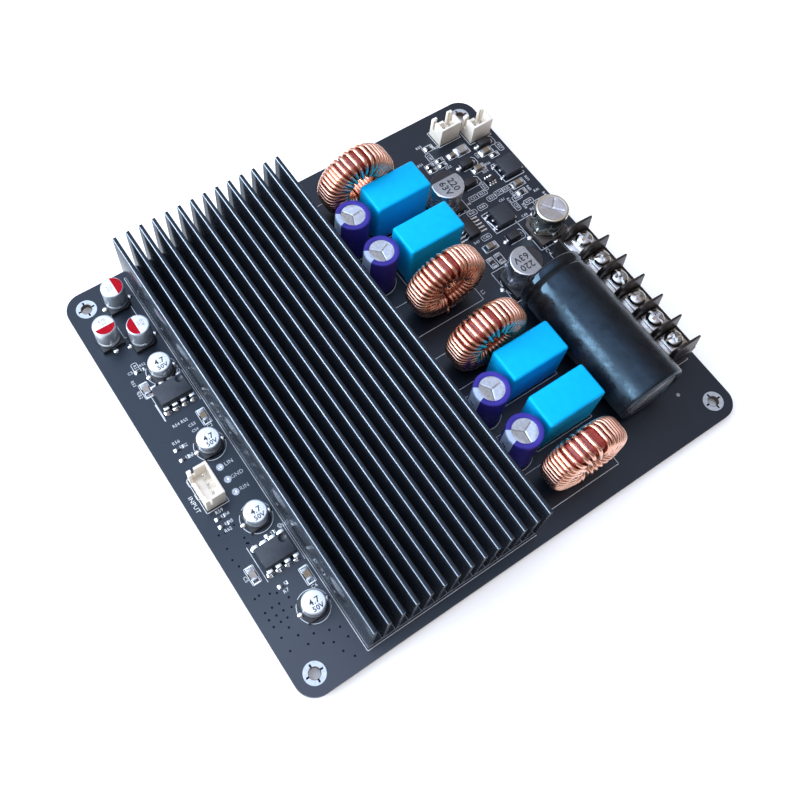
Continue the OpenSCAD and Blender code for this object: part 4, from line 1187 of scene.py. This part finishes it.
m.piece("regulator_bodies", ["chip", "lead", "solder"], nodes=["regulators"], slot="chip_black")

m = Mesh()
for cx, cy, turn, w, d, h, n, p, reach in ((-33.7, 58.5, 90, 2.9, 1.6, 1.1, 3, 0.95, 1.7), (-22.7, 42.0, 0, 6.2, 3.9, 1.6, 5, 1.27, 4.6)):
    at = place(cx, cy, TOP, turn)
    m.bm(box_bm(w, d, h - 0.1, 0.14, 2), 0, at @ place(0, 0, 0.1))
    for t in (-1, 1):
        for k in range(n):
            u = (k - (n - 1) / 2) * p
            m.bm(box_bm(0.42, 0.5, 0.16, 0.04, 1), 1, at @ place(u, t * (d / 2 + 0.15), h * 0.5))
            m.bm(box_bm(0.42, 0.16, h * 0.5 + 0.14, 0.04, 1), 1, at @ place(u, t * (d / 2 + 0.38), 0.02))
            m.bm(box_bm(0.42, reach - d / 2 - 0.3, 0.16, 0.04, 1), 1, at @ place(u, t * (d / 2 + 0.3 + (reach - d / 2 - 0.3) / 2), 0.02))
            m.bm(box_bm(0.6, min(1.1, reach - d / 2), 0.07, 0.03, 1), 2, at @ place(u, t * (reach - 0.35), 0))
m.piece("control_bodies", ["chip_dark", "lead", "solder"], nodes=["control_chips"], slot="chip_black")


# ---------------------------------------------------------------- printing and bare pads on the board

ink = Mesh()
Z = TOP + 0.005
INK = 0.015


def line(x0, y0, x1, y1, w=0.17):
    d = Vector((x1 - x0, y1 - y0))
    slab(ink, (x0 + x1) / 2, (y0 + y1) / 2, Z, d.length + w, w, INK, 0, math.degrees(math.atan2(d.y, d.x)))


def path(*pts, w=0.17):
    for a, b in zip(pts, pts[1:]):
        line(*a, *b, w)


def rect(x0, y0, x1, y1, w=0.17):
    path((x0, y0), (x1, y0), (x1, y1), (x0, y1), (x0, y0), w=w)


def circle(x, y, r, w=0.17, seg=48):
    ring(ink, r - w / 2, r + w / 2, Z, Z + INK, place(x, y), seg, 0)


def word(s, x, y, size=1.5, turn=90.0):
    letters(ink, s, x, y, Z + INK * 0.5, size, turn, 0, INK * 0.6)


# heatsink outline
path((-62.1, 0.35), (-62.1, -52.0), (61.5, -52.0), (61.5, 0.35))
# inductors, film boxes, output cans
for i, (x, y) in enumerate(RINGS):
    rect(x - 5.6, 7.6, x + 5.6, 31.2)
    word("L%d" % (i + 1), x + (3.6 if i != 3 else -3.6), 32.4, 1.5, 0)
for i, (x, y) in enumerate(FILM):
    rect(x - 5.35, y - 9.5, x + 5.35, y + 9.5)
for i, (x, y) in enumerate(OUT):
    circle(x, y, 5.4)
    word("C%d" % (i + 21), x - 6.6, y - 3.6, 1.4, 90)
    line(x - 5.9, y - 6.2, x - 5.9, y + 1.0)
# cans on square bases
for x, y in COUP:
    circle(x, y, 4.3)
for x, y in RAIL:
    rect(x - 5.9, y - 5.9, x + 5.9, y + 5.9)
    circle(x, y, 5.75)
x, y = SUPPLY
rect(x - 5.9, y - 5.9, x + 5.9, y + 5.9)
rect(-53.2, -60.9, -45.0, -54.6)
# chips
for x, y in AMPS:
    path((x - 5.1, y - 5.4), (x + 5.1, y - 5.4))
    path((x - 5.1, y + 5.4), (x + 5.1, y + 5.4))
    circle(x - 5.6, y + 4.6, 0.45, 0.2, 20)
# header and terminal outlines
rect(0.1, -67.1, 10.9, -60.6)
rect(-2.9, 57.2, 45.2, 68.4)
for x, y in AUX:
    rect(x - 3.3, y - 4.1, x + 3.3, y + 4.1)
word("INPUT", 7.0, -68.7, 1.7, 0)
word("LIN", 1.75, -55.4, 1.6, 90)
word("GND", 5.7, -55.2, 1.6, 90)
word("RIN", 9.7, -55.4, 1.6, 90)
word("DC+", -4.6, 57.4, 1.7, 0)
word("1", 2.05, 69.7, 1.5, 0)
for s, x, y, t in (("R1", -33.9, -60.6, 90), ("C1", -27.9, -65.4, 0), ("R2", -8.5, -62.6, 90), ("R3", -5.3, -62.6, 90), ("R4", 13.5, -63.0, 90),
                   ("R5", 15.7, -63.1, 90), ("C5", 30.6, -67.6, 0), ("C6", 41.2, -54.2, 90), ("R7", 38.4, -60.7, 90), ("C2", -9.8, -54.3, 90)):
    word(s, x, y, 1.35, t)
# small parts in the supply corner
for x, y, w, l in [(p[0], p[1], p[2] + 0.9, p[3] + 1.6) if p[3] > p[2] else (p[0], p[1], p[2] + 1.6, p[3] + 0.9) for p in CER + RES[:9]]:
    rect(x - w / 2, y - l / 2, x + w / 2, y + l / 2, 0.16)
path((-38.0, 65.7), (-38.1, 62.0), (-30.6, 62.1), (-30.6, 69.4), (-31.3, 69.4), w=0.22)
path((-24.8, 51.5), (-24.7, 48.1), (-17.1, 48.2), (-17.1, 55.8), (-17.8, 55.8), w=0.22)


def tag(s, x, y, turn=90.0, size=1.25, box=True):
    """Designator, boxed with cut corners where a label belongs to a crowd of parts."""
    word(s, x, y, size, turn)
    if box:
        a, b, c = 0.36 * size * len(s) + 0.25, 0.5 * size + 0.22, 0.3
        pts = [(-a + c, -b), (a - c, -b), (a, -b + c), (a, b - c), (a - c, b), (-a + c, b), (-a, b - c), (-a, -b + c), (-a + c, -b)]
        t = math.radians(turn)
        path(*[(x + px * math.cos(t) - py * math.sin(t), y + px * math.sin(t) + py * math.cos(t)) for px, py in pts], w=0.16)


for n, (x, y, t, b) in enumerate([
        (-31.1, 50.1, 90, True), (-31.1, 53.4, 90, True), (-28.3, 54.9, 90, True), (-28.7, 57.9, 90, True), (-28.6, 60.9, 90, True),
        (-24.7, 58.8, 0, False), (-21.9, 59.4, 0, True), (-20.6, 61.5, 0, False), (-21.3, 63.7, 90, True), (-19.6, 66.1, 90, True),
        (-23.3, 68.4, 90, False), (-20.7, 69.6, 0, False), (-17.9, 59.4, 90, False), (-27.1, 50.4, 90, True), (-27.0, 46.4, 90, True),
        (-17.8, 44.8, 90, True), (-17.8, 41.3, 90, False), (-30.1, 47.2, 90, False), (-50.5, 47.6, 0, True), (-52.6, 51.9, 90, False),
        (-49.6, 43.4, 90, False), (-44.4, 50.4, 90, False), (-55.4, 46.9, 90, False), (-37.2, 59.3, 90, False), (-43.4, 60.6, 0, False),
        (-39.2, 61.6, 90, False), (-42.6, 68.9, 0, True), (-26.3, 61.2, 0, False), (-28.4, 68.6, 0, False), (-33.0, 55.4, 0, True),
        (-26.0, 57.0, 90, False), (-24.3, 61.6, 90, True), (-18.6, 63.2, 90, False), (-29.6, 45.0, 0, False), (-25.2, 66.8, 0, False)]):
    tag(("R%d" if n % 3 else "C%d") % (31 + n), x, y, t, 1.25, b)
for x, y in [(-42.2, 55.2), (-45.9, 64.8), (-35.9, 51.7), (-13.3, 51.2)]:
    path((x - 1.7, y - 1.6), (x - 1.7, y + 3.6), (x - 0.9, y + 4.2), (x + 0.9, y + 4.2), (x + 1.7, y + 3.6), (x + 1.7, y - 1.6))
for s, x, y, t, z, b in [
        ("R51", -35.3, -62.7, 0, 1.20, True), ("R52", -35.2, -60.7, 90, 1.10, False), ("C51", -34.6, -64.4, 90, 1.20, False), ("R53", -31.4, -65.5, 0, 1.20, False), ("C52", -27.5, -65.7, 0, 1.30, False),
        ("R54 R55", -14.7, -60.5, 90, 1.25, False), ("C53", -12.6, -58.1, 90, 1.20, False), ("C54", -10.8, -58.2, 90, 1.10, False), ("R56", -10.4, -64.2, 90, 1.30, False), ("R57", -8.6, -62.7, 90, 1.00, False),
        ("R58", -5.1, -63.1, 90, 1.20, False), ("C55", 24.1, -55.8, 90, 1.20, False), ("C56", 23.8, -52.6, 90, 1.30, False), ("R59", 11.9, -64.2, 90, 1.35, False), ("R60", 13.5, -63.1, 90, 1.10, False),
        ("R61", 15.7, -63.2, 90, 1.10, False), ("R62", 17.3, -64.7, 90, 1.25, False)]:
    tag(s, x, y, t, z, b)
line(-22.66, -63.54, -17.34, -63.50, 0.34)
rect(0.42, -67.32, 2.22, -65.92, 0.16)
rect(4.69, -67.32, 6.49, -65.92, 0.16)
ink.piece("board_print", ["silk"], slot="tinned_metal")

pads = Mesh()
for sx in (-1, 1):
    for sy in (-1, 1):
        at = place(sx * 58.75, sy * 65.5)
        for z0, z1 in ((TOP, TOP + 0.03), (-0.03, 0.0)):
            ring(pads, 1.62, 2.9, z0, z1, at, 64, 4)
        # the hole lining's dark brown is partly the barrel's own colour, partly painted shade inside the hole
        ring(pads, 1.50, 1.62, -0.03, TOP + 0.03, at, 48, 1)
        for a in (0, 90, 180, 270):
            c, s = math.cos(math.radians(a)), math.sin(math.radians(a))
            for z in (TOP + 0.028, -0.04):
                slab(pads, sx * 58.75 + 2.0 * c, sy * 65.5 + 2.0 * s, z, 0.8, 0.5, 0.012, 2, a)
for x, y in PADS:
    for z0, z1 in ((TOP, TOP + 0.03), (-0.03, 0.0)):
        ring(pads, 0.5, 0.98, z0, z1, place(x, y), 32, 0)
    lathe(pads, [(0, -0.25), (0.47, -0.2), (0.5, 0.0), (0.5, TOP), (0.42, TOP + 0.02), (0.2, TOP - 0.06), (0, TOP - 0.08)], place(x, y), 28, 3)
rnd = random.Random(5)
spots = [(40.1, -63.8), (40.0, -65.8), (42.1, -63.8), (40.2, -67.9), (42.2, -65.9), (42.5, -61.7), (40.1, -61.0), (44.1, -63.9), (42.2, -68.0),
         (44.1, -65.8), (44.2, -67.9), (46.3, -64.9), (49.1, -64.0), (47.4, -67.7), (52.2, -63.1), (50.8, -60.6), (54.0, -59.9), (52.2, -57.0),
         (55.2, -57.7), (53.0, -54.4), (56.0, -54.0), (58.2, -56.9), (60.7, -55.2), (51.2, -67.6)]
for k in range(22):
    x, y = rnd.uniform(17, 38), rnd.uniform(-69, -62)
    if abs(x - 30.6) > 3.6:
        spots.append((x, y))
# painted shade: each via is a flat near-black disc standing in for the shade down its hole
for x, y in spots:
    ring(pads, 0.02, 0.30, TOP, TOP + 0.012, place(x, y), 16, 2)
lathe(pads, [(0, TOP), (0.55, TOP), (0.55, TOP + 0.03), (0, TOP + 0.03)], place(52.0, 58.5), 24, 0)
for x, y in ((-0.83, 37.74), (-10.66, 55.76)):
    lathe(pads, [(0, TOP), (1.05, TOP), (1.0, TOP + 0.12), (0.75, TOP + 0.34), (0.35, TOP + 0.46), (0, TOP + 0.48)], place(x, y), 24, 3)
pads.piece("board_pads", ["tin", "barrel_copper_and_shade", "via", "solder", "tin_ring"], slot="tinned_metal")


# ---------------------------------------------------------------- stage, light, camera

def stage():
    me = bpy.data.meshes.new("floor")
    z = -0.0017
    me.from_pydata([(-3, -3, z), (3, -3, z), (3, 3, z), (-3, 3, z)], [], [(0, 1, 2, 3)])
    # painted light: the floor glows, lifting its shadows towards an even white
    m = surf("pale_floor", (0.84, 0.82, 0.79), (0.86, 0.84, 0.81), 0.9, scale=3.0, glow=0.34)
    n, link = m.node_tree.nodes, m.node_tree.links.new
    xyz = n.new("ShaderNodeSeparateXYZ")
    link(n["Texture Coordinate"].outputs["Object"], xyz.inputs["Vector"])
    # painted shade: the glow drops from 0.36 to 0.05 under the board's footprint, so the floor under and through the
    # board stays dark
    edge = []
    for axis, half in (("X", 0.064), ("Y", 0.071)):
        far = n.new("ShaderNodeMath")
        far.operation = "ABSOLUTE"
        link(xyz.outputs[axis], far.inputs[0])
        r = n.new("ShaderNodeMapRange")
        r.inputs["From Min"].default_value = half - 0.003
        r.inputs["From Max"].default_value = half
        link(far.outputs["Value"], r.inputs["Value"])
        edge.append(r)
    out = n.new("ShaderNodeMath")
    out.operation = "MAXIMUM"
    link(edge[0].outputs["Result"], out.inputs[0])
    link(edge[1].outputs["Result"], out.inputs[1])
    lift = n.new("ShaderNodeMapRange")
    lift.inputs["To Min"].default_value = 0.05
    lift.inputs["To Max"].default_value = 0.36
    link(out.outputs["Value"], lift.inputs["Value"])
    link(lift.outputs["Result"], n["Principled BSDF"].inputs["Emission Strength"])
    me.materials.append(m)
    ob = bpy.data.objects.new("floor", me)
    SCENE.collection.objects.link(ob)


def softbox(name, at, aim, w, h, radiance, colour):
    d = bpy.data.lights.new(name, "AREA")
    d.shape = "RECTANGLE"
    d.size, d.size_y = w, h
    d.energy = radiance * PI * w * h
    d.color = colour
    ob = bpy.data.objects.new(name, d)
    ob.location = at
    ob.rotation_euler = (Vector(aim) - Vector(at)).to_track_quat("-Z", "Y").to_euler()
    SCENE.collection.objects.link(ob)


def world():
    w = bpy.data.worlds.new("studio")
    SCENE.world = w
    w.use_nodes = True
    n, link = w.node_tree.nodes, w.node_tree.links.new
    bg = n["Background"]
    tc = n.new("ShaderNodeTexCoord")
    dot = n.new("ShaderNodeVectorMath")
    dot.operation = "DOT_PRODUCT"
    link(tc.outputs["Generated"], dot.inputs[0])
    dot.inputs[1].default_value = (-0.28, -0.30, 0.912)
    ramp = n.new("ShaderNodeValToRGB")
    ramp.color_ramp.interpolation = "EASE"
    e = ramp.color_ramp.elements
    e[0].position, e[0].color = 0.70, (0.072, 0.066, 0.064, 1)
    e[1].position, e[1].color = 1.00, (0.640, 0.780, 1.000, 1)
    for pos, col in ((0.86, (0.155, 0.138, 0.142, 1)), (0.95, (0.325, 0.375, 0.520, 1))):
        k = e.new(pos)
        k.color = col
    mr = n.new("ShaderNodeMapRange")
    mr.inputs["From Min"].default_value = -1.0
    mr.inputs["From Max"].default_value = 1.0
    link(dot.outputs["Value"], mr.inputs["Value"])
    link(mr.outputs["Result"], ramp.inputs["Fac"])
    link(ramp.outputs["Color"], bg.inputs["Color"])
    bg.inputs["Strength"].default_value = 4.5


stage()
world()
softbox("key", (-0.30, -1.02, 0.46), (0, 0, 0.01), 1.00, 0.55, 11.0, (0.77, 0.90, 1.0))

cam = bpy.data.cameras.new("camera")
cam.sensor_fit = "HORIZONTAL"
cam.sensor_width = 36.0
cam.lens = 42.466
cam.shift_x = 0.06157
cam.shift_y = -0.03304
cam.clip_start = 0.005
cam.clip_end = 20.0
ob = bpy.data.objects.new("camera", cam)
SCENE.collection.objects.link(ob)
right = Vector((0.556302, 0.829792, 0.044414))
up = Vector((-0.760972, 0.487235, 0.428396))
back = Vector((0.333840, -0.272115, 0.902499))
mat = Matrix((right, up, back)).transposed().to_4x4()
mat.translation = Vector((0.084264, -0.084754, 0.23562))
ob.matrix_world = mat
SCENE.camera = ob
SCENE.view_settings.view_transform = "Standard"
SCENE.view_settings.look = "None"
